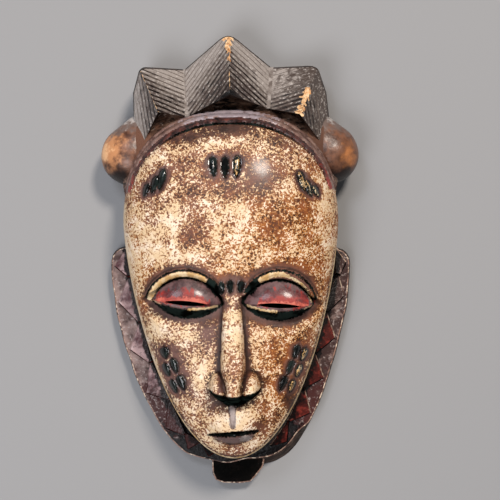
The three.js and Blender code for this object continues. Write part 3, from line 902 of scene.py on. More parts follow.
# %% Shape the buns
BUNS = [(-80.2, 88.2, 27), (80.2, 86.6, 27)]
BUN_SIZE = (24.3, 24.3, 21)
NECK_STEP = (7.2, 14.8, 0)
NECK_SIZE = (15.5, 17.5, 17)
KNIFE_LUMPS = {"height": 0.02, "size": 1.6}


def ball_points(middle, size):
    """The points of a ball, drawn out of round, with low lumps left by the knife."""
    ball = bmesh.new()
    bmesh.ops.create_uvsphere(ball, u_segments=56, v_segments=28, radius=1)
    points = []
    for vertex in ball.verts:
        spot = vertex.co * KNIFE_LUMPS["size"] + Vector(middle)
        lump = 1 + KNIFE_LUMPS["height"] * noise.noise(spot)
        points.append([c + s * lump * n for c, s, n in zip(middle, size, vertex.co)])
    ball.free()
    return points


for bun in BUNS:
    step = Vector(NECK_STEP) * Vector((-math.copysign(1, bun[0]), 1, 1))
    neck = Vector(bun) + step
    both = ball_points(bun, BUN_SIZE) + ball_points(neck, NECK_SIZE)
    mask = carve(mask, part("bun", hull(both, BUN)), "UNION")
print("buns are", 2 * BUN_SIZE[0], "mm across")

# %% Draw out the ruff
RUFF_LEFT = [
    (-100.6, 4.0), (-98.6, -25.5), (-93.8, -54.4), (-86.5, -79.2), (-78.0, -104.1),
    (-69.7, -120.7), (-57.7, -141.5), (-41.5, -158.2), (-18.6, -164.7),
]
RUFF_RIGHT = [
    (98.3, -0.5), (97.8, -7.0), (96.5, -21.8), (92.4, -48.4), (88.8, -61.7), (85.6, -75.0),
    (81.2, -88.2), (76.8, -101.5), (72.0, -114.7), (65.6, -128.0), (58.3, -141.2),
    (49.6, -154.4), (42.9, -161.0), (31.1, -167.4), (20.0, -169.0),
]
RUFF_TOP = [
    (96.9, 4.1), (94.3, 7.6), (91.0, 9.8), (86.0, 10.5), (0.0, 12.0), (-86.0, 14.6),
    (-93.4, 13.8), (-97.0, 11.6), (-99.8, 7.4),
]
RUFF_MIDDLE = (0.0, -50.0)
RUFF_HEIGHT = 15
RUFF_WEAR = {"thickness": 0.9, "depth": 0.5}
RUFF_LEAN = {"all_round": 2.0, "more_at_lower_right": 5.5}
ROUND_OFF = 0.02

rim_points = np.array(RUFF_LEFT + RUFF_RIGHT[::-1] + RUFF_TOP) - RUFF_MIDDLE
rim_turns = np.arctan2(rim_points[:, 1], rim_points[:, 0])
rim_order = np.argsort(rim_turns)
rim_turns, rim_radii = rim_turns[rim_order], np.hypot(*rim_points[rim_order].T)


def ruff_point(turn, inset=0):
    """The ruff's outline at a turn around its middle, drawn in by an inset."""
    around = [turn + step for step in (-ROUND_OFF, 0, ROUND_OFF)]
    close = [np.interp(t, rim_turns, rim_radii, period=2 * math.pi) for t in around]
    radius = sum(close) / len(close) - inset
    return RUFF_MIDDLE[0] + radius * math.cos(turn), RUFF_MIDDLE[1] + radius * math.sin(turn)


def ruff_inset(turn):
    """The ruff's wall leans in a little, and by much more at the lower right."""
    degrees = math.degrees(turn)
    lower_right = float(smooth(degrees, -95, -84) * (1 - smooth(degrees, -62, -52)))
    return RUFF_LEAN["all_round"] + RUFF_LEAN["more_at_lower_right"] * lower_right


collar = bmesh.new()
bmesh.ops.create_circle(collar, cap_ends=True, segments=180, radius=1)
turns = [math.atan2(vertex.co.y, vertex.co.x) for vertex in collar.verts]
for vertex, turn in zip(collar.verts, turns):
    vertex.co = (*ruff_point(turn), 0)
pushed = bmesh.ops.extrude_face_region(collar, geom=list(collar.faces))["geom"]
raised = [item for item in pushed if isinstance(item, bmesh.types.BMVert)]
for vertex in raised:
    turn = math.atan2(vertex.co.y - RUFF_MIDDLE[1], vertex.co.x - RUFF_MIDDLE[0])
    vertex.co = (*ruff_point(turn, ruff_inset(turn)), RUFF_HEIGHT)
front = [face for face in collar.faces if all(v.co.z > 1 for v in face.verts)]
for face in collar.faces:
    face.material_index = RUFF if face in front else SIDE
for face in bmesh.ops.inset_region(collar, faces=front, **RUFF_WEAR)["faces"]:
    face.material_index = EDGE
mask = carve(mask, part("ruff", collar), "UNION")
print("the ruff reaches down to", round(min(p[1] for p in RUFF_RIGHT)), "mm")

# %% Cut its teeth
TEETH = {
    "left": {
        "tips": [(-98.0, -0.3), (-95.1, -31.1), (-86.1, -70.7), (-74.3, -108.2), (-58.2, -138.4),
                 (-38.5, -152.5), (-22.0, -159.0)],
        "feet": [(-85.8, -9.7), (-77.5, -47.2), (-69.9, -80.3), (-55.1, -110.7), (-42.4, -140.0),
                 (-30.0, -147.0), (-15.0, -153.5)],
        "finishes": [TOOTH, TOOTH, TOOTH, TOOTH, TOOTH, TOOTH, RUFF],
        "top": (-88, 12),
        "ridge": TOOTH,
        "step": STEP,
    },
    "right": {
        "tips": [(97.2, 0.6), (92.9, -29.1), (85.5, -63.8), (75.5, -97.3), (64.4, -127.7),
                 (43.4, -151.1)],
        "feet": [(88.3, -11.1), (77.7, -41.6), (67.3, -75.2), (58.2, -103.7), (45.5, -130.8),
                 (30.6, -150.6)],
        "finishes": [RUFF, RUFF, RED, RED, RED, RED],
        "top": (87, 9),
        "ridge": EDGE,
        "step": SOOT_AND_SHADOW,
    },
}
TOOTH_SLOPE = 3.0
TOOTH_LIFT = {"root": 16.4, "tip": 18.2, "foot": 23.0, "under_jaw": 24, "sunk_to": 12}
TOOTH_INSET = 0.5
STEEP = 0.75


def inside_ruff(x, y, inset):
    """The point itself, or the nearest one that lies this far inside the ruff's edge."""
    turn = math.atan2(y - RUFF_MIDDLE[1], x - RUFF_MIDDLE[0])
    edge_x, edge_y = ruff_point(turn, ruff_inset(turn) + inset)
    share = math.dist(RUFF_MIDDLE, (edge_x, edge_y)) / math.dist(RUFF_MIDDLE, (x, y))
    return (edge_x, edge_y) if share < 1 else (x, y)


for side in TEETH.values():
    above = side["top"]
    for tip, foot, finish in zip(side["tips"], side["feet"], side["finishes"]):
        tip = inside_ruff(*tip, TOOTH_INSET + TOOTH_SLOPE)
        root = Vector((above[0] * 0.98, above[1] + 1, TOOTH_LIFT["root"]))
        deeper = Vector((foot[0] * 0.96, foot[1] + 1, TOOTH_LIFT["under_jaw"]))
        tip, low = Vector((*tip, TOOTH_LIFT["tip"])), Vector((*foot, TOOTH_LIFT["foot"]))
        corners = [root, tip, low, deeper]
        middle = sum(corners, Vector()) / len(corners)
        skirt = []
        for corner in corners:
            out = (corner - middle) * Vector((1, 1, 0))
            down = Vector((0, 0, TOOTH_LIFT["sunk_to"] - corner.z))
            skirt.append(corner + out.normalized() * TOOTH_SLOPE + down)
        wedge = hull(corners + skirt, finish)
        bmesh.ops.recalc_face_normals(wedge, faces=wedge.faces)
        for face in wedge.faces:
            if abs(face.normal.z) < STEEP:
                face.material_index = side["step"] if face.normal.y < 0 else side["ridge"]
        mask = carve(mask, part("tooth", wedge), "UNION")
        above = foot
print("teeth:", sum(len(side["tips"]) for side in TEETH.values()))

# %% Shape the tab
TAB_OUTLINE = [
    (-19.5, -150.0), (-19.2, -174.0), (-16.6, -179.4), (-10.0, -181.9), (3.0, -182.4),
    (11.7, -181.4), (15.8, -177.6), (22.6, -168.8), (23.6, -164.0), (23.4, -150.0),
]
TAB_MIDDLE = (2.0, -166.0, 0)
TAB_HEIGHT = 13
TAB_WEAR = 1.2
SLOPING = (0.3, 0.9)

worn_in = []
for corner in TAB_OUTLINE:
    out = Vector((*corner, 0)) - Vector(TAB_MIDDLE)
    drawn_in = out * (1 - TAB_WEAR / out.length)
    worn_in.append(Vector(TAB_MIDDLE) + drawn_in + Vector((0, 0, TAB_HEIGHT)))
floor_points = [(*c, 0) for c in TAB_OUTLINE]
shoulder_points = [(*c, TAB_HEIGHT - TAB_WEAR) for c in TAB_OUTLINE]
# The tab's near-black is its own dark finish and also a painted shadow of the chin.
tab = hull(floor_points + shoulder_points + worn_in, SOOT_AND_SHADOW)
bmesh.ops.recalc_face_normals(tab, faces=tab.faces)
for face in tab.faces:
    if SLOPING[0] < face.normal.z < SLOPING[1]:
        face.material_index = EDGE
mask = carve(mask, part("tab", tab), "UNION")
print("the whole mesh has", len(mask.data.polygons), "faces")

# %% [markdown]
# ## The hollow
# The back is dug out with a short adze, which leaves a field of shallow scoops. The hollow
# is a smaller egg under the first, with a wall of about 14 mm left round it, and its roof
# is pressed in by the scoops: each point takes its depth from the nearest scoop's middle.

# %% Dig out the back
WALL = 14
ROOF_WALL = 3
SCOOP = {"size": 13, "squeezed": 0.7, "lift": 2.2, "depth": 3.4}
BORDER_DROP = 4

hollow = bmesh.new()
bmesh.ops.create_grid(hollow, x_segments=64, y_segments=100, size=1)
u, v, _ = coordinates(hollow)
x, y = spread(u, v, outline_table(lambda turns: -WALL + 0 * turns))
roof = dome_height(out_ratio(x, y, -WALL), y) - WALL - ROOF_WALL
spots = [Vector((px, py * SCOOP["squeezed"], 0)) / SCOOP["size"] for px, py in zip(x, y)]
nearest = np.array([noise.voronoi(spot)[0][0] for spot in spots])
place(hollow, x, y, roof + SCOOP["lift"] - SCOOP["depth"] * nearest**2)
close_down(hollow, [lambda co: co.z - BORDER_DROP, lambda co: -BORDER_DROP], ADZED, ADZED)
mask = carve(mask, part("hollow", hollow, ADZED), "DIFFERENCE")
print("hollowed: the mesh has", len(mask.data.polygons), "faces")

# %% [markdown]
# ## Slits to see through
# Between each pair of lids a slit goes right through to the hollow. Each is cut with a thin
# lens: a disc with its vertices drawn into an almond, pushed through as a prism.

# %% Cut the eye slits
CUTTER = {"floor": 20, "length": 100, "pinch": 0.6, "turn": -1}

for eye in EYES:
    tilt = math.radians(eye["tilt"] + CUTTER["turn"])
    lens = bmesh.new()
    bmesh.ops.create_circle(lens, cap_ends=True, segments=40, radius=1)
    for vertex in lens.verts:
        narrows = math.sqrt(1 - CUTTER["pinch"] * vertex.co.x**2)
        along = SLIT["half_length"] * vertex.co.x
        above = SLIT["y"] + SLIT["half_width"] * vertex.co.y * narrows
        vertex.co = (
            eye["x"] + math.cos(tilt) * along - math.sin(tilt) * above,
            eye["y"] + math.sin(tilt) * along + math.cos(tilt) * above,
            CUTTER["floor"],
        )
    pushed = bmesh.ops.extrude_face_region(lens, geom=list(lens.faces))["geom"]
    top = [item for item in pushed if isinstance(item, bmesh.types.BMVert)]
    bmesh.ops.translate(lens, verts=top, vec=(0, 0, CUTTER["length"]))
    mask = carve(mask, part("slit", lens, RUFF), "DIFFERENCE")
print("slits are", 2 * SLIT["half_width"], "mm wide")

# %% Sweep away the splinters
# A thin edge between two cuts can come off the wood, as it does under a real gouge.
SPLINTER = 400


def loose_parts(form):
    """The groups of points that hang together."""
    left = set(form.verts)
    groups = []
    while left:
        group, to_visit = [], [left.pop()]
        while to_visit:
            vertex = to_visit.pop()
            group.append(vertex)
            for edge in vertex.link_edges:
                other = edge.other_vert(vertex)
                if other in left:
                    left.remove(other)
                    to_visit.append(other)
        groups.append(group)
    return groups


body = bmesh.new()
body.from_mesh(mask.data)
splinters = [group for group in loose_parts(body) if len(group) < SPLINTER]
bmesh.ops.delete(body, geom=[vertex for group in splinters for vertex in group], context="VERTS")
body.to_mesh(mask.data)
body.free()
print(len(splinters), "loose splinters fell from the cuts")

# %% [markdown]
# ## Where the paint lies
# The painter followed the carving: cream on the lower half of each brow, black in the
# crevices and on the lower lids, red over the slits, and no chalk round the scars. The black
# field also holds a painted shadow under the nose. Each paint gets a field: millimetres
# inside its area, less than 0 outside. The fields change evenly, so a shader can draw a
# crisp and ragged border between two points of the mesh.

# %% Measure the places
here = np.zeros(len(mask.data.vertices) * 3)
mask.data.vertices.foreach_get("co", here)
x, y, z = here.reshape(-1, 3).T
FAR = -20.0


def store(name, values):
    """Keeps one number for each point of the mask."""
    layer = mask.data.attributes.new(name, "FLOAT", "POINT")
    layer.data.foreach_set("value", values.astype(np.float32))


def least(*fields):
    """The place inside all the fields."""
    return np.minimum.reduce([np.broadcast_to(f, x.shape) for f in fields])


def most(*fields):
    """The place inside any of the fields."""
    return np.maximum.reduce([np.broadcast_to(f, x.shape) for f in fields])


def blobs(places):
    """Soft round patches: middle, width, height and strength of each."""
    total = x * 0
    for at_x, at_y, across, tall, amount in places:
        total = total + amount * np.exp(-(((x - at_x) / across) ** 2) - ((y - at_y) / tall) ** 2)
    return total


outside, across = edge_distance(x, y), across_band(x, y)
below_nose = nose_bottom(x) - y
beside_nose = np.abs(x - NOSE["middle"]) - nose_half(y)
scar_inside = most(*[scar_frame(x, y, scar)[0] for scar in SCARS])
mouth_along, mouth_aside = mouth_frame(x, y)
print("fields for", len(x), "points")

# %% Hollows and crests
CLOSE_BY = 2.2
FURTHER_OUT = 6.5


def sunk(reach):
    """How far each point lies below the ring of points around it, in millimetres."""
    ring = np.zeros_like(x)
    turns = np.arange(8) * math.pi / 4
    for turn in turns:
        ring = ring + front_height(x + reach * math.cos(turn), y + reach * math.sin(turn))
    return ring / len(turns) - front_height(x, y)


on_rim = smooth(-outside, 1, 5)
near, wide = sunk(CLOSE_BY) * on_rim, sunk(FURTHER_OUT) * on_rim
# More chalk on the crests paints them lighter: a painted highlight.
crest = smooth(-near, 0.08, 0.5) * smooth(-outside, 7, 13)
# Points sunk below the ring around them are darkened: partly dirt, partly painted shade in the
# hollows.
dirt_and_shade = np.clip(smooth(near, 0.1, 0.7) + 0.55 * smooth(wide, 0.5, 3.6), 0, 1)
print("dirt lies on", int((dirt_and_shade > 0.5).sum()), "points, wear on", int((crest > 0.5).sum()))

# %% Values of the paint round the eyes
# Lengths are in millimetres, and a brow's starts are its turns in degrees from the nose.
# An eye's "arch" is how high the red rises over its slit, and its "coral" the share of that
# height where the red is still bright. A brow's "thinned" is how much of its cream is gone.
BROW_PAINT = {"dark_from": 0.9, "cream_from": 2.9, "hem": 0.6, "mm_a_degree": 0.55,
              "cream_starts": 54, "dark_starts": 34, "end_starts": 26, "short_of_end": 2}
FOLD_LINES = [
    {"half": 0.85, "under": 1.0, "starts": 1, "ends": 24},
    {"half": 0.6, "under": 0.6, "starts": -26, "ends": -20},
]
CREVICE = {"half": 1.2, "out": 0.55, "lowest": -1.5}
LOWER_LID = {"out": 1.5, "under_fold": 0.9}
UPPER_LID = {"inset": 0.2, "over_fold": 0.4}
SLIT_TOP = SLIT["y"] + 0.6
RED_ARCH = {"middle": -4, "half": 20}
RED_PATCH = {"overlap": 1.4, "inset": 1.2, "ends": 17}
CORAL_PATCH = {"overlap": 1.2, "inset": 1.6, "ends": 16}


def on_lid(patch, top, above, gap, inward):
    """The place on an upper lid from just under the slit's top up to a height."""
    return least(above - SLIT_TOP + patch["overlap"], SLIT_TOP + top - above,
                 -patch["inset"] - gap, patch["ends"] - inward)


print("the red rises", " and ".join(str(eye["arch"]) for eye in EYES), "mm over the slits")

# %% Paint round the eyes
cream, black, red, plain = x * 0 + FAR, x * 0 + FAR, x * 0 + FAR, x * 0
coral, plum_lid = x * 0 + FAR, x * 0 + FAR
under_eyes, lids, upper_lids = x * 0, x * 0, x * 0
for eye, brow in zip(EYES, BROWS):
    along, above = eye_frame(x, y, eye)
    inward = along * eye["inner"]
    gap, fold = almond(along, above), crest_line(along)
    depth, turn = brow_frame(x, y, brow)
    a_degree, hem = BROW_PAINT["mm_a_degree"], BROW_PAINT["hem"]
    cream_start = a_degree * (turn - BROW_PAINT["cream_starts"])
    dark_start = a_degree * (turn - BROW_PAINT["dark_starts"])
    end_start = a_degree * (turn - BROW_PAINT["end_starts"])
    outer_end = a_degree * (brow["outer_end"] - BROW_PAINT["short_of_end"] - turn)
    thinned = brow["thinned"] * smooth(turn, 96, 112)
    under_dark = depth - BROW_PAINT["cream_from"] - thinned
    cream = most(cream, least(under_dark, BROW_WIDTH - hem - depth, cream_start, outer_end))
    for line in FOLD_LINES:
        on_line = line["half"] - np.abs(above - fold + line["under"])
        cream = most(cream, least(on_line, inward - line["starts"], line["ends"] - inward))
    dark_band = least(depth - BROW_PAINT["dark_from"], BROW_PAINT["cream_from"] - depth,
                      dark_start, outer_end)
    dark_end = least(depth - hem, BROW_WIDTH + hem - depth, end_start, -cream_start)
    crevice = least(CREVICE["half"] - np.abs(gap - CREVICE["out"]), above - CREVICE["lowest"])
    lower_lid = least(LOWER_LID["out"] - gap, fold - LOWER_LID["under_fold"] - above)
    black = most(black, dark_band, dark_end, crevice, lower_lid)
    off_middle = (inward - RED_ARCH["middle"]) / RED_ARCH["half"]
    arch = eye["arch"] * np.sqrt(np.clip(1 - off_middle**2, 0, 1))
    red = most(red, on_lid(RED_PATCH, arch, above, gap, inward))
    coral = most(coral, on_lid(CORAL_PATCH, eye["coral"] * arch, above, gap, inward))
    over_fold = above - fold + UPPER_LID["over_fold"]
    plum_lid = most(plum_lid, least(-UPPER_LID["inset"] - gap, over_fold))
    above_brow = smooth(depth, -9, 1) ** 1.5 * (1 - smooth(depth, 7, 9)) * smooth(turn, 20, 40)
    above_brow = above_brow * (1 - smooth(turn, 140, 170))
    under_eye = (1 - smooth(gap, 0, 9)) * (above < 4)
    lids = most(lids, 1 - smooth(gap, 0.5, 2.5))
    upper_lids = most(upper_lids, (1 - smooth(gap, -0.5, 1.0)) * smooth(above - fold, -0.5, 0.8))
    under_eyes = most(under_eyes, under_eye)
    plain = most(plain, 0.8 * above_brow, under_eye, (gap < 1.5) * 1.0)
print("red reaches", int((red > 0).sum()), "points")

# %% Paint of the edge, the scars and the mouth, and the painted shadow under the nose
CREAM_EDGE = {"width": 1.3, "past": 0.4, "top": 10, "left_from": -90}
SCAR_PAINT = {"black_past": 0.2, "cream_in": 0.3, "chipped": -1.1, "fade": 1.6, "off_keel": 0.35}
MOUTH_PAINT = {"least_half": 0.4, "more_half": 1.7, "down": 0.3, "length": 22, "past_corner": 0.6}
NOSE_SHADOW = {"down": 11.5, "narrows": 0.42, "x": 1, "past": 0.3, "half": 20, "half_x": 1.5}
HAIRLINE_PAINT = {"wider": 1.2, "over_cord": 0.4, "lowest": 96, "fade": 0.1}

right_or_low = most(x, CREAM_EDGE["left_from"] - y)
cream = most(cream, least(outside + CREAM_EDGE["width"], CREAM_EDGE["top"] - y, right_or_low))
cream = np.where(outside > CREAM_EDGE["past"], FAR, cream)
black = most(black, scar_inside + SCAR_PAINT["black_past"])
for scar in SCARS:
    inside_scar, off_keel = scar_frame(x, y, scar)
    worn_off = SCAR_PAINT["fade"] * np.abs(off_keel - SCAR_PAINT["off_keel"])
    chipped = scar.get("chipped", SCAR_PAINT["chipped"]) - worn_off
    cream = most(cream, np.where(inside_scar > SCAR_PAINT["cream_in"], chipped, FAR))
round_off = 1 - (2 * mouth_along - 1) ** 2
bulge = MOUTH_PAINT["more_half"] * np.sqrt(np.clip(round_off, 0, 1))
mouth_half = MOUTH_PAINT["least_half"] + bulge
from_left = MOUTH_PAINT["length"] * mouth_along
black = most(black, least(
    mouth_half - np.abs(mouth_aside + MOUTH_PAINT["down"]),
    from_left + MOUTH_PAINT["past_corner"], MOUTH_PAINT["length"] - from_left))
# The black wedge under the nose is a painted shadow of the nose, not paint.
narrows = NOSE_SHADOW["narrows"] * np.abs(x - NOSE_SHADOW["x"])
black = most(black, least(
    below_nose + NOSE_SHADOW["past"], NOSE_SHADOW["down"] - below_nose - narrows,
    NOSE_SHADOW["half"] - np.abs(x - NOSE_SHADOW["half_x"])))
black = most(black, least(
    across - HAIRLINE + HAIRLINE_PAINT["wider"],
    CORD["inner"] + HAIRLINE_PAINT["over_cord"] - across,
    HAIRLINE_PAINT["fade"] * (y - HAIRLINE_PAINT["lowest"])))
print("cream reaches", int((cream > 0).sum()), "points, black", int((black > 0).sum()))

# %% Where the chalk was rubbed off
# Hands and cloths reach some places most, and there the stained wood is nearly plain.
MUCH, SOME = 0.8, 0.6
HANDLED_MOST = [(22, 65, 22, 14, 1.0)]
LILAC_PATCH = [(-20, -52, 9, 13, 1.0)]
GLABELLA = {"y": -17, "across": 16, "tall": 9}
CHEEK = {"x": -36, "y": -80, "lean": 0.32}
BESIDE_NOSE = (-98, -22)
WAXED = {"upper_lids": 0.28, "handled_most": 0.3, "lip": 0.3}

beside = (1 - smooth(beside_nose, -0.5, 7)) ** 1.5 * (beside_nose > 0)
beside = beside * (y < BESIDE_NOSE[1]) * (y > BESIDE_NOSE[0])
tray = smooth(scar_inside, -6.0, -1.0) ** 1.5
lip = (mouth_aside < 0) * smooth(LIP["down"] * round_off + mouth_aside, -0.5, 1)
hollow_lip = smooth(philtrum_depth(x, y), 0.3, 1.2)
off_glabella = np.hypot(x / GLABELLA["across"], (y - GLABELLA["y"]) / GLABELLA["tall"])
glabella = 1 - smooth(off_glabella, 0.5, 1.2)
left_of_line = CHEEK["x"] - CHEEK["lean"] * (y - CHEEK["y"]) - x
cheek = smooth(left_of_line, -6, 6) * (1 - smooth(y, -66, -56)) * smooth(y, -112, -98)
handled_most, lilac_patch = blobs(HANDLED_MOST), blobs(LILAC_PATCH)
plain = most(
    plain, MUCH * lilac_patch, MUCH * beside, MUCH * tray, SOME * handled_most, MUCH * lip,
    hollow_lip, glabella, SOME * cheek * smooth(-outside, 3, 7))
waxed = most(
    smooth(scar_inside, -1.5, 0), WAXED["upper_lids"] * upper_lids,
    WAXED["handled_most"] * handled_most, WAXED["lip"] * lip)
print("nearly plain:", int((plain > 0.5).sum()), "points")

# %% Keep the paint fields
LILAC_GROOVE = {"half": 2.5, "x": -0.9, "foot": -126.5, "top": -111.5}
# The grey-lilac spot on the right of the lower lip is a painted highlight; the lilac of the groove
# is its own colour.
LIP_HIGHLIGHT = {"half": 2.8, "x": 9, "y": -137.5, "wider": 1.7, "under_mouth": 1.2}

up_groove = np.hypot(x - LILAC_GROOVE["x"], np.minimum(y - LILAC_GROOVE["foot"], 0))
in_groove = least(LILAC_GROOVE["half"] - up_groove, LILAC_GROOVE["top"] - y)
off_spot = np.hypot((x - LIP_HIGHLIGHT["x"]) / LIP_HIGHLIGHT["wider"], y - LIP_HIGHLIGHT["y"])
on_lip_highlight = least(LIP_HIGHLIGHT["half"] - off_spot, -LIP_HIGHLIGHT["under_mouth"] - mouth_aside)
for name, values in (
        ("waxed", waxed), ("cream_mm", cream), ("black_mm", black), ("plum_mm", plum_lid),
        ("red_mm", red), ("coral_mm", coral), ("lilac_mm", most(in_groove, on_lip_highlight)),
        ("plain", plain)):
    store(name, values)
print("lilac reaches", int((in_groove > 0).sum()), "points of the groove")

# %% Where the chalk stayed thick, and what shows under it
THICK = [
    (4, -60, 5, 40, 0.3), (-5, -62, 3, 20, -0.5), (0, -120, 26, 13, 1.3), (-66, 20, 12, 40, 0.5),
    (72, 0, 8, 60, 0.1), (-30, 8, 34, 8, 0.6), (30, 4, 22, 7, 0.4), (8, 22, 8, 24, 0.5),
    (0, 92, 52, 7, 0.7), (-4, 83, 20, 8, -0.8), (-22, 26, 13, 18, -0.8), (-34, 62, 14, 14, -0.6),
    (-62, 44, 9, 14, -0.5), (28, 28, 14, 15, -0.75), (56, 44, 9, 18, -0.4), (44, -3, 26, 6, -0.4),
    (-32, -58, 14, 10, 0.6), (-22, -84, 9, 20, 0.3), (34, -60, 16, 16, 0.3),
    (30, -88, 12, 16, -0.5), (-60, -48, 8, 10, 0.5), (-28, -112, 16, 12, -0.3),
    (34, -112, 12, 14, 0.2), (-43, 28, 4, 36, 0.8), (10, 50, 4, 26, 0.5),
    (40, 66, 14, 10, 0.4), (-50, 82, 12, 8, 0.6), (20, -128, 6, 8, -0.7),
    (48, -44, 20, 36, -0.9), (62, 10, 14, 30, -0.4), (-60, -20, 16, 20, -0.4),
]
GOLDEN = [
    (46, 14, 34, 50, 0.9), (34, -90, 26, 46, 0.9), (74, -20, 12, 90, 1.0), (-76, -10, 8, 70, 0.8),
    (-6, -12, 26, 10, 0.7), (-60, -10, 22, 12, 0.5), (0, 10, 60, 20, 0.5), (14, 66, 40, 40, 0.35),
]
# Dark patches on the face: most are dirt, but the one under the nose is painted shadow and the two
# along the creases beside its tip are painted shade.
GRIME_AND_SHADE = [(2, 104, 24, 7, 1.0), (-30, 97, 16, 6, 0.7), (42, 93, 20, 6, 0.5), (20, -128, 7, 6, 0.5),
         (1, -112, 19, 6, 0.75), (-9, -91, 2.6, 8, 0.5), (9.5, -91, 2.6, 8, 0.5),
         (43, -110, 5, 8, 0.8), (33, -120, 4, 5, 0.5)]
RIM_LINE = {"inset": 2.2, "strength": 0.7}
COVER = {"left_edge": 1.2, "crests": 0.4, "off_dirt_and_shade": 0.9, "off_grime_and_shade": 1.4}

grime_and_shade = np.clip(blobs(GRIME_AND_SHADE), 0, 1) * (outside < 0)
rim_line = 1 - smooth(np.abs(outside + RIM_LINE["inset"]), 0.3, 1.3)
rim_line = RIM_LINE["strength"] * rim_line * most(x > 0, y < -95) * (y < 10)
# The darkening is partly dirt and partly painted shade; the lips, the groove under the nose and the
# skin under the eyes are spared some of it.
spared_darkening = (1 - 0.85 * most(lip, hollow_lip)) * (1 - 0.5 * under_eyes)
dirt_and_shade = np.clip(dirt_and_shade * spared_darkening + grime_and_shade + 0.3 * lids + rim_line, 0, 1)
left_edge = smooth(outside, -3.6, -1.6) * (x < 0) * (y < 48) * (y > -95)
# The crests' extra chalk is a painted highlight.
cover = blobs(THICK) + COVER["left_edge"] * left_edge + COVER["crests"] * crest
cover = cover - COVER["off_dirt_and_shade"] * dirt_and_shade - COVER["off_grime_and_shade"] * grime_and_shade
golden = np.clip(0.2 + blobs(GOLDEN), 0, 1) * (1 - lids) * (1 - 0.6 * plain)
store("cover", cover)
store("dirt_and_shade", dirt_and_shade)
store("golden", golden * (1 - 0.9 * most(lip, hollow_lip)))
print("chalk cover runs from", round(float(cover.min()), 2), "to", round(float(cover.max()), 2))

# %% Bare the flat underside
UNDERSIDE = 0.5
DOWNWARDS = -0.9

for face in mask.data.polygons:
    if face.normal.z < DOWNWARDS and face.center.z < UNDERSIDE:
        face.material_index = ADZED
print("faces lying on the floor:", sum(face.center.z < UNDERSIDE for face in mask.data.polygons))

# %% [markdown]
# ## To metres
# The carving was done in millimetres, and the scene is in metres.

# %% Scale to metres
SHARP = math.radians(38)

mask.data.transform(Matrix.Scale(MM, 4))
mask.data.shade_smooth()
mask.data.set_sharp_from_angle(angle=SHARP)
print("triangles:", sum(len(p.vertices) - 2 for p in mask.data.polygons))

# %% [markdown]
# ## Chalk rubbed over stained wood
# The face was stained a purplish brown, coated with cream chalk paint, and rubbed back so
# that the chalk stays in flecks about a millimetre wide, thick in some places and thin in
# others. Where it is thin the stain shows through as rust, and golden under the wax on the
# right. The hollows are darkened, partly by dirt and partly as painted shade, and the crests
# get more chalk, a painted highlight. One noise makes the flecks, a wide one the patches,
# and the painted fields lie over both. A wax coat on top gives small white glints.

# %% Flecks, and the sockets of a mix
FLECK = 1 / (1.8 * MM)
STROKE = 1 / (3.2 * MM)
PATCH = 1 / (22 * MM)
MIX = {"data_type": "RGBA"}
AMOUNT, UNDER, OVER, MIXED = 0, 6, 7, 2
EASY_CLIMB = {"interpolation_type": "SMOOTHSTEP"}
TIMES_PLUS = {"operation": "MULTIPLY_ADD"}


def start(finish):
    """The tree of one finish, its shader, and where each point lies on the mask."""
    tree = finishes[finish].node_tree
    place_on = add(tree, "ShaderNodeTexCoord").outputs["Object"]
    return tree, tree.nodes["Principled BSDF"], place_on


print("flecks are about", round(1 / FLECK / MM / 2, 1), "mm wide")

# %% Flecks and patches of the face finish
tree, shader, place_on = start(FACE)
fleck = add(tree, "ShaderNodeTexNoise", {}, {
    "Vector": place_on, "Scale": FLECK, "Detail": 2.0, "Roughness": 0.6,
    "Distortion": 0.9}).outputs["Fac"]
patch = add(tree, "ShaderNodeTexNoise", {}, {
    "Vector": place_on, "Scale": PATCH, "Detail": 4.0, "Roughness": 0.65}).outputs["Fac"]
second = add(tree, "ShaderNodeTexNoise", {}, {
    "Vector": place_on, "Scale": PATCH * 2.3, "Detail": 3.0, "Roughness": 0.6}).outputs["Fac"]
plain_at, golden_at, dirt_and_shade_at = [
    add(tree, "ShaderNodeAttribute", {"attribute_name": name}).outputs["Fac"]
    for name in ("plain", "golden", "dirt_and_shade")]
# How well each spot is covered: the wide patches, what the mask's fields say, and the flecks.
chalk = add(tree, "ShaderNodeMath", TIMES_PLUS, {0: patch, 1: 0.75, 2: -0.478})
cover_at = add(tree, "ShaderNodeAttribute", {"attribute_name": "cover"}).outputs["Fac"]
for share_of, share in ((cover_at, 0.14), (plain_at, -0.36), (fleck, 1.25)):
    chalk = add(tree, "ShaderNodeMath", TIMES_PLUS, {0: share_of, 1: share, 2: chalk.outputs[0]})
chalk = chalk.outputs[0]
print("the face finish has", len(tree.nodes), "nodes so far")

# %% Stains of the face finish
STAINS = {"plum": ("#46291F", "#74524A"), "umber": ("#3A1C0C", "#8A4A1E")}

stains = {}
tone = add(tree, "ShaderNodeMapRange", EASY_CLIMB, {
    "Value": second, "From Min": 0.35, "From Max": 0.65}).outputs[0]
for name, (dark, light) in STAINS.items():
    stains[name] = add(tree, "ShaderNodeMix", MIX, {
        AMOUNT: tone, UNDER: paint(dark), OVER: paint(light)}).outputs[MIXED]
stain = add(tree, "ShaderNodeMix", MIX, {
    AMOUNT: golden_at, UNDER: stains["plum"], OVER: stains["umber"]}).outputs[MIXED]
handled = add(tree, "ShaderNodeMix", MIX, {
    AMOUNT: golden_at, UNDER: paint("#7A605C"), OVER: paint("#7C5240")}).outputs[MIXED]
half_plain = add(tree, "ShaderNodeMath", TIMES_PLUS, {0: plain_at, 1: 0.5, 2: 0.0}).outputs[0]
stain = add(tree, "ShaderNodeMix", MIX, {
    AMOUNT: half_plain, UNDER: stain, OVER: handled}).outputs[MIXED]
print("stains:", ", ".join(STAINS))

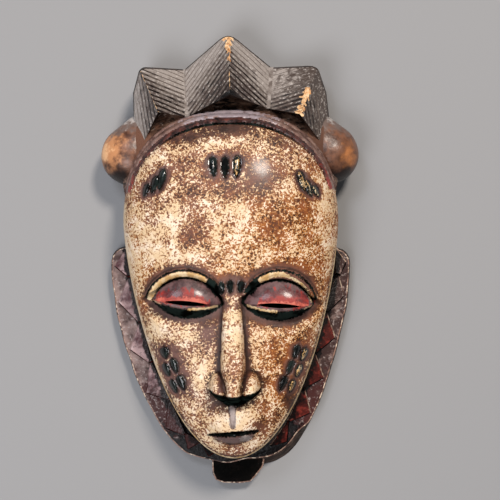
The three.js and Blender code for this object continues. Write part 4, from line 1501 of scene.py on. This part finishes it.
# %% Thin and thick chalk of the face finish
THIN = (0.37, 0.52)
THICK_ENOUGH = (0.52, 0.59)

rust = add(tree, "ShaderNodeMix", MIX, {
    AMOUNT: golden_at, UNDER: paint("#96613F"), OVER: paint("#C07A35")}).outputs[MIXED]
thin = add(tree, "ShaderNodeMapRange", EASY_CLIMB, {
    "Value": chalk, "From Min": THIN[0], "From Max": THIN[1]}).outputs[0]
thin = add(tree, "ShaderNodeMath", TIMES_PLUS, {0: plain_at, 1: -0.75, 2: thin}).outputs[0]
coat = add(tree, "ShaderNodeMix", MIX, {AMOUNT: thin, UNDER: stain, OVER: rust}).outputs[MIXED]
# Dark brown over the hollows: partly dirt, partly painted shade.
darkening = add(tree, "ShaderNodeMath", TIMES_PLUS, {0: dirt_and_shade_at, 1: 0.75, 2: 0.0}).outputs[0]
coat = add(tree, "ShaderNodeMix", MIX, {
    AMOUNT: darkening, UNDER: coat, OVER: paint("#24130C")}).outputs[MIXED]
tone = add(tree, "ShaderNodeMapRange", EASY_CLIMB, {
    "Value": second, "From Min": 0.4, "From Max": 0.7}).outputs[0]
whitened = add(tree, "ShaderNodeMix", MIX, {
    AMOUNT: tone, UNDER: paint("#EDCEA4"), OVER: paint("#FFEBD2")}).outputs[MIXED]
thick = add(tree, "ShaderNodeMapRange", EASY_CLIMB, {
    "Value": chalk, "From Min": THICK_ENOUGH[0], "From Max": THICK_ENOUGH[1]}).outputs[0]
coat = add(tree, "ShaderNodeMix", MIX, {AMOUNT: thick, UNDER: coat, OVER: whitened}).outputs[MIXED]
print("with its chalk it has", len(tree.nodes), "nodes")

# %% Painted parts of the face finish
# Each paint: its field, how ragged its edge is in millimetres, and its dark and light tones.
LAYERS = (
    ("plum_mm", 0.6, "#42292A", "#6E5050"),
    ("red_mm", 1.0, "#58181A", "#9E3028"),
    # black_mm also carries the painted shadow under the nose.
    ("black_mm", 1.0, "#050605", "#1D2623"),
    ("cream_mm", 0.9, "#D9AE73", "#FBE0B4"),
    ("coral_mm", 2.2, "#A23A2E", "#CF6A57"),
    # lilac_mm also carries the painted highlight on the lower lip.
    ("lilac_mm", 1.2, "#85756F", "#AFA09A"),
)

torn_by = add(tree, "ShaderNodeMath", TIMES_PLUS, {0: fleck, 1: 4.0, 2: -2.0}).outputs[0]
brushed = add(tree, "ShaderNodeMapping", {}, {"Vector": place_on, "Scale": (1.0, 0.3, 0.6)})
brushed = add(tree, "ShaderNodeTexNoise", {}, {
    "Vector": brushed.outputs[0], "Scale": STROKE, "Detail": 2.0, "Roughness": 0.7}).outputs["Fac"]
streaks = add(tree, "ShaderNodeMath", TIMES_PLUS, {0: brushed, 1: 22.0, 2: -11.0}).outputs[0]
tone = add(tree, "ShaderNodeMapRange", EASY_CLIMB, {
    "Value": second, "From Min": 0.4, "From Max": 0.6}).outputs[0]
covered = {}
for name, raggedness, dark, light in LAYERS:
    inside = add(tree, "ShaderNodeAttribute", {"attribute_name": name}).outputs["Fac"]
    torn = add(tree, "ShaderNodeMath", TIMES_PLUS, {
        0: torn_by, 1: raggedness, 2: inside}).outputs[0]
    if name == "red_mm":
        torn = add(tree, "ShaderNodeMath", {"operation": "ADD"}, {0: torn, 1: streaks}).outputs[0]
    shade = add(tree, "ShaderNodeMix", MIX, {
        AMOUNT: tone, UNDER: paint(dark), OVER: paint(light)}).outputs[MIXED]
    covered[name] = add(tree, "ShaderNodeMapRange", EASY_CLIMB, {
        "Value": torn, "From Min": -0.3, "From Max": 0.3}).outputs[0]
    coat = add(tree, "ShaderNodeMix", MIX, {
        AMOUNT: covered[name], UNDER: coat, OVER: shade}).outputs[MIXED]
tree.links.new(coat, shader.inputs["Base Color"])
print("with its paints it has", len(tree.nodes), "nodes")

# %% Wax on the face finish
WAX_COAT_ROUGHNESS = 0.15
RELIEF_MM = 0.5

dry = add(tree, "ShaderNodeMath", TIMES_PLUS, {0: second, 1: 0.5, 2: 0.3}).outputs[0]
waxed_at = add(tree, "ShaderNodeAttribute", {"attribute_name": "waxed"}).outputs["Fac"]
rough = add(tree, "ShaderNodeMath", TIMES_PLUS, {0: waxed_at, 1: -0.34, 2: dry})
tree.links.new(rough.outputs[0], shader.inputs["Roughness"])
dull = add(tree, "ShaderNodeMath", TIMES_PLUS, {0: covered["black_mm"], 1: -0.42, 2: 0.42})
tree.links.new(dull.outputs[0], shader.inputs["Specular IOR Level"])
wax = add(tree, "ShaderNodeMath", TIMES_PLUS, {0: waxed_at, 1: 0.95, 2: 0.0})
tree.links.new(wax.outputs[0], shader.inputs["Coat Weight"])
shader.inputs["Coat Roughness"].default_value = WAX_COAT_ROUGHNESS
relief = add(tree, "ShaderNodeBump", {}, {
    "Height": chalk, "Strength": 0.7, "Distance": RELIEF_MM * MM})
tree.links.new(relief.outputs["Normal"], shader.inputs["Normal"])
print("face finish has", len(tree.nodes), "nodes")

# %% [markdown]
# ## Weathered wood
# The other finishes are the same wood, stained, waxed, dusty or worn bare in different
# mixtures. Each is a base colour under a few layers. A layer covers part of the wood in
# patches of its own size, and grows towards a place: along an axis, near a point, or beside
# the face. The pores of this wood are about 0.3 mm wide, too fine to show here, so the grain
# is drawn one to three millimetres wide.

# %% Layers of wear
SOFT_EDGE = 0.06
PULL = 0.5


def beside_face(tree, place_on):
    """0 on the outline of the face's lower half, and about 0.2 at the ruff's edge."""
    split = add(tree, "ShaderNodeSeparateXYZ", {}, {0: place_on})
    across = add(tree, "ShaderNodeMath", TIMES_PLUS, {
        0: split.outputs["X"], 1: 1 / (FACE_HALF * MM), 2: 0.0}).outputs[0]
    down = add(tree, "ShaderNodeMath", TIMES_PLUS, {
        0: split.outputs["Y"], 1: -1 / (FACE_DOWN * MM), 2: FACE_WIDEST / FACE_DOWN})
    for operation, value in (("MAXIMUM", 0.0), ("POWER", CHIN_POWER)):
        down = add(tree, "ShaderNodeMath", {"operation": operation}, {0: down.outputs[0], 1: value})
    squares = add(tree, "ShaderNodeMath", TIMES_PLUS, {0: across, 1: across, 2: down.outputs[0]})
    ratio = add(tree, "ShaderNodeMath", {"operation": "SQRT"}, {0: squares.outputs[0]})
    return add(tree, "ShaderNodeMath", TIMES_PLUS, {
        0: ratio.outputs[0], 1: 1.0, 2: -1.0}).outputs[0]


def towards(tree, place_on, layer):
    """The value along which a layer grows, where it has none, and where it is full."""
    if "axis" in layer:
        axis, far_off, close_by = layer["axis"]
        split = add(tree, "ShaderNodeSeparateXYZ", {}, {0: place_on})
        return split.outputs[axis], far_off * MM, close_by * MM
    if "near" in layer:
        spot, far_off = layer["near"]
        away = add(tree, "ShaderNodeVectorMath", {"operation": "DISTANCE"}, {
            0: place_on, 1: [c * MM for c in spot]})
        return away.outputs["Value"], far_off * MM, 0.0
    close_by, far_off = layer["beside_face"]
    return beside_face(tree, place_on), far_off, close_by


def weather(finish, base, layers, rough, bump_mm, grain_mm):
    """Builds a finish from a base colour and the layers that lie over it."""
    tree, shader, place_on = start(finish)
    coat = paint(base)
    for layer in layers:
        squeezed = add(tree, "ShaderNodeMapping", {}, {
            "Vector": place_on, "Scale": layer.get("stretch", (1, 1, 1))})
        amount = add(tree, "ShaderNodeTexNoise", {}, {
            "Vector": squeezed.outputs[0], "Scale": 1 / (layer["size"] * MM),
            "Detail": 3.0, "Roughness": 0.62}).outputs["Fac"]
        if {"axis", "near", "beside_face"} & set(layer):
            value, far_off, close_by = towards(tree, place_on, layer)
            grows = add(tree, "ShaderNodeMapRange", {}, {
                "Value": value, "From Min": far_off, "From Max": close_by})
            amount = add(tree, "ShaderNodeMath", TIMES_PLUS, {
                0: grows.outputs[0], 1: layer.get("pull", PULL), 2: amount}).outputs[0]
        edge, soft = layer["edge"], layer.get("soft", SOFT_EDGE)
        covers = add(tree, "ShaderNodeMapRange", EASY_CLIMB, {
            "Value": amount, "From Min": edge - soft, "From Max": edge + soft,
            "To Max": layer.get("strength", 1.0)})
        coat = add(tree, "ShaderNodeMix", MIX, {
            AMOUNT: covers.outputs[0], UNDER: coat, OVER: paint(layer["colour"])}).outputs[MIXED]
    tree.links.new(coat, shader.inputs["Base Color"])
    grain = add(tree, "ShaderNodeTexNoise", {}, {
        "Vector": place_on, "Scale": 1 / (grain_mm * MM), "Detail": 3.0, "Roughness": 0.6})
    gloss = add(tree, "ShaderNodeMapRange", {}, {
        "Value": grain.outputs["Fac"], "From Min": 0.3, "From Max": 0.7,
        "To Min": rough[0], "To Max": rough[1]})
    tree.links.new(gloss.outputs[0], shader.inputs["Roughness"])
    relief = add(tree, "ShaderNodeBump", {}, {
        "Height": grain.outputs["Fac"], "Strength": 0.8, "Distance": bump_mm * MM})
    tree.links.new(relief.outputs["Normal"], shader.inputs["Normal"])
    print(FINISHES[finish], "has", len(layers), "layers over", base)


# %% Finishes of the crown
# Soot-stained wood reads dark and a little glossy by the face; dust turns it grey outwards.
weather(LOBE, "#7F746C", [
    {"colour": "#554843", "size": 9, "edge": 0.52, "soft": 0.12},
    {"colour": "#A89E97", "size": 5, "edge": 0.82, "soft": 0.2, "axis": (2, 70, 42), "pull": 0.5},
    {"colour": "#3A2D28", "size": 5, "edge": 0.78, "soft": 0.14, "axis": (2, 50, 84), "pull": 0.5},
    {"colour": "#4C3F38", "size": 6, "edge": 0.76, "soft": 0.16, "axis": (0, 20, 74), "pull": 0.5},
    {"colour": "#D6CDC6", "size": 2.0, "edge": 0.6, "soft": 0.05, "strength": 0.7},
], (0.3, 0.5), 0.25, 1.6)
# The gouge cuts are nearly black by the face and fill with grey dust towards the rim.
weather(GOUGED, "#1C1310", [
    {"colour": "#3B2C26", "size": 7, "edge": 0.54, "soft": 0.1},
    {"colour": "#6E635C", "size": 6, "edge": 0.84, "soft": 0.16, "axis": (2, 68, 44), "pull": 0.5},
], (0.35, 0.6), 0.2, 1.5)
# The valleys and the rim's sides hold a pale dust, which has no gloss.
weather(DUSTY, "#857A73", [
    {"colour": "#6A5E57", "size": 9, "edge": 0.5, "soft": 0.16},
    {"colour": "#B8AFA8", "size": 7, "edge": 0.54, "soft": 0.16, "strength": 0.8},
    {"colour": "#4A3D37", "size": 2.2, "edge": 0.66, "soft": 0.08, "strength": 0.6},
], (0.6, 0.85), 0.2, 1.2)
# The sides were stained dark and never waxed; the knife left streaks that run round them.
weather(SIDE, "#2C201B", [
    {"colour": "#4E3D34", "size": 16, "edge": 0.52, "soft": 0.12, "stretch": (1, 1, 2.5)},
    {"colour": "#120B09", "size": 7, "edge": 0.56, "soft": 0.1, "stretch": (0.6, 0.6, 2.5)},
    {"colour": "#74655B", "size": 4, "edge": 0.62, "soft": 0.06, "stretch": (0.4, 0.4, 2.5),
     "strength": 0.7},
], (0.5, 0.75), 0.4, 2.0)
# Soot gathered in the cuts stays black and soaks up the light. On the tab under the chin the same
# near-black is also a painted shadow of the chin.
weather(SOOT_AND_SHADOW, "#050403", [
    {"colour": "#120C0A", "size": 5, "edge": 0.6, "soft": 0.1},
    {"colour": "#3A3431", "size": 2.2, "edge": 0.74, "soft": 0.04, "strength": 0.5},
], (0.6, 0.8), 0.2, 1.5)
# The cord was rubbed with red earth, most of which has gone from it.
weather(CORDED, "#4A2D2A", [
    {"colour": "#1C110F", "size": 6, "edge": 0.52, "soft": 0.1},
    {"colour": "#66382F", "size": 5, "edge": 0.56, "soft": 0.1},
    {"colour": "#96372B", "size": 6, "edge": 0.84, "soft": 0.1, "axis": (1, 96, 60), "pull": 0.45},
], (0.28, 0.45), 0.25, 1.6)
# Bare wood shows in chips: pale, dry, with darker pores along the grain.
weather(BARE, "#D9A874", [
    {"colour": "#F0CFA2", "size": 2.5, "edge": 0.5, "soft": 0.08},
    {"colour": "#8A5C3A", "size": 1.6, "edge": 0.63, "soft": 0.05, "stretch": (3, 1, 1)},
], (0.6, 0.8), 0.2, 0.9)

# %% Finishes of the band, buns and ruff
# Behind the band the skull is stained brown, with a light streak where the knife ran; the
# near-black under the middle lobe's prow is a painted shadow.
weather(SKULL, "#4E382D", [
    {"colour": "#7E6352", "size": 5, "edge": 0.54, "soft": 0.08, "stretch": (0.3, 1, 1)},
    {"colour": "#1B110D", "size": 4, "edge": 0.56, "soft": 0.06, "stretch": (0.3, 1, 1)},
    {"colour": "#A39186", "size": 2.4, "edge": 0.65, "soft": 0.04, "stretch": (0.25, 1, 1)},
    {"colour": "#74503F", "size": 8, "edge": 0.7, "soft": 0.16, "near": ((-80, 97, 44), 32),
     "pull": 0.6},
    {"colour": "#6A4A3B", "size": 8, "edge": 0.7, "soft": 0.16, "near": ((82, 94, 44), 30),
     "pull": 0.6},
    {"colour": "#0B0706", "size": 4, "edge": 0.8, "soft": 0.1, "near": ((-4, 133, 70), 34),
     "pull": 0.75},
], (0.22, 0.42), 0.3, 1.6)
# The band is waxed and rubbed, so it keeps a soft shine over a purplish stain; the pale grey-lilac
# at its top middle is a painted highlight.
weather(ROLL, "#87695F", [
    {"colour": "#543A34", "size": 8, "edge": 0.55, "soft": 0.14},
    {"colour": "#A08478", "size": 6, "edge": 0.6, "soft": 0.1, "strength": 0.8},
    {"colour": "#A99DA4", "size": 5, "edge": 0.8, "soft": 0.12, "near": ((0, 121, 62), 60),
     "pull": 0.6, "strength": 0.8},
], (0.22, 0.4), 0.2, 2.0)
# Hands have worn the buns through to orange-brown wood; they grow darker towards the bottom and
# dusty grey on top of the neck.
weather(BUN, "#80553E", [
    {"colour": "#4E3022", "size": 8, "edge": 0.51, "soft": 0.14},
    {"colour": "#CB8E61", "size": 7, "edge": 0.86, "soft": 0.16, "near": ((-98, 92, 40), 27),
     "pull": 0.75},
    {"colour": "#F2BC8A", "size": 5, "edge": 0.98, "soft": 0.12, "near": ((-100, 90, 36), 18),
     "pull": 0.75},
    {"colour": "#B97848", "size": 8, "edge": 0.92, "soft": 0.2, "near": ((98, 84, 42), 22),
     "pull": 0.65},
    {"colour": "#74625A", "size": 6, "edge": 0.88, "soft": 0.2, "axis": (1, 94, 112), "pull": 0.6},
    {"colour": "#B9B1AC", "size": 5, "edge": 0.92, "soft": 0.12, "axis": (1, 102, 120),
     "pull": 0.6},
    {"colour": "#1E120E", "size": 12, "edge": 0.82, "soft": 0.26, "axis": (1, 88, 68), "pull": 0.6},
    {"colour": "#2A1A14", "size": 1.8, "edge": 0.66, "soft": 0.05, "strength": 0.5},
], (0.28, 0.46), 0.25, 2.2)
# Dark waxed wood: a brown-black stain with scuffs of grey where it was handled. Beside the face it
# is painted darker, partly dirt and partly painted shade in the corner, and it turns darker towards
# the right and towards the bottom.
weather(RUFF, "#A68C84", [
    {"colour": "#5C4540", "size": 12, "edge": 0.53, "soft": 0.16},
    {"colour": "#44302D", "size": 7, "edge": 0.64, "soft": 0.14, "axis": (0, 20, 60), "pull": 0.26},
    {"colour": "#4A2522", "size": 5, "edge": 0.84, "soft": 0.14, "axis": (1, -66, -124),
     "pull": 0.6},
    {"colour": "#C8B8B2", "size": 2.4, "edge": 0.62, "soft": 0.06, "strength": 0.6},
    {"colour": "#120B0A", "size": 6, "edge": 0.76, "soft": 0.1, "beside_face": (0.03, 0.09),
     "pull": 0.8},
    {"colour": "#0A0606", "size": 7, "edge": 0.88, "soft": 0.12, "axis": (1, -112, -156),
     "pull": 0.7},
], (0.28, 0.5), 0.7, 2.6)
# The left teeth were rubbed pinkish mauve. Beside the face they are painted darker, partly dirt and
# partly painted shade in the corner, and darker towards the bottom; the tips are paler, partly
# scuffs and partly a painted highlight.
weather(TOOTH, "#CBA8A4", [
    {"colour": "#643E40", "size": 11, "edge": 0.53, "soft": 0.14},
    {"colour": "#DCC8C6", "size": 6, "edge": 0.84, "soft": 0.16, "beside_face": (0.2, 0.09),
     "pull": 0.42, "strength": 0.8},
    {"colour": "#4E2E2C", "size": 5, "edge": 0.84, "soft": 0.14, "axis": (1, -66, -124),
     "pull": 0.6},
    {"colour": "#1E1110", "size": 5, "edge": 0.8, "soft": 0.12, "beside_face": (0.02, 0.08),
     "pull": 0.8},
    {"colour": "#2A1815", "size": 2.4, "edge": 0.64, "soft": 0.06, "strength": 0.7},
], (0.25, 0.42), 0.7, 2.6)
# Red earth was rubbed over the stain, so it is red on top and nearly black in the pores; beside the
# face it is painted near black, partly dirt and partly painted shade.
weather(RED, "#4E1C18", [
    {"colour": "#86332A", "size": 6, "edge": 0.57, "soft": 0.12},
    {"colour": "#2A1210", "size": 5.5, "edge": 0.58, "soft": 0.12},
    {"colour": "#A5776A", "size": 2.2, "edge": 0.68, "soft": 0.05, "strength": 0.6},
    {"colour": "#120A09", "size": 5, "edge": 0.84, "soft": 0.12, "beside_face": (0.01, 0.1),
     "pull": 0.6},
], (0.35, 0.55), 0.4, 1.8)
# A step between two teeth is a dark cut with some red left in it.
weather(STEP, "#421512", [
    {"colour": "#140908", "size": 5, "edge": 0.52, "soft": 0.1},
    {"colour": "#7E332D", "size": 4, "edge": 0.6, "soft": 0.08},
], (0.4, 0.6), 0.3, 1.4)
# Along the edges the wax broke away in bits and shows pale wood between dark remains.
weather(EDGE, "#4A352F", [
    {"colour": "#A5806F", "size": 5, "edge": 0.48, "soft": 0.1},
    {"colour": "#EAD2BA", "size": 4, "edge": 0.56, "soft": 0.04},
], (0.4, 0.6), 0.3, 1.4)
# The back is bare from the adze: brown, dry wood with a grain that runs down the block.
weather(ADZED, "#7A5638", [
    {"colour": "#5A3C26", "size": 5, "edge": 0.5, "soft": 0.14, "stretch": (1, 0.12, 1)},
    {"colour": "#A07C54", "size": 2.2, "edge": 0.6, "soft": 0.08, "stretch": (1, 0.1, 1)},
    {"colour": "#3A281C", "size": 26, "edge": 0.58, "soft": 0.12, "strength": 0.6},
], (0.65, 0.85), 0.3, 1.2)

# %% How much each dark stain shines
# Stain that soaked in mirrors little; with the usual shine it would turn grey under the sky.
SHINE = {SOOT_AND_SHADOW: 0.05, SIDE: 0.2, RUFF: 0.18, TOOTH: 0.45, RED: 0.1, STEP: 0.05, GOUGED: 0.3}
for finish, shine in SHINE.items():
    shader = finishes[finish].node_tree.nodes["Principled BSDF"]
    shader.inputs["Specular IOR Level"].default_value = shine
print(len(SHINE), "stains made duller")

# %% Hand over
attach(mask, "root")
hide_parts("mask")
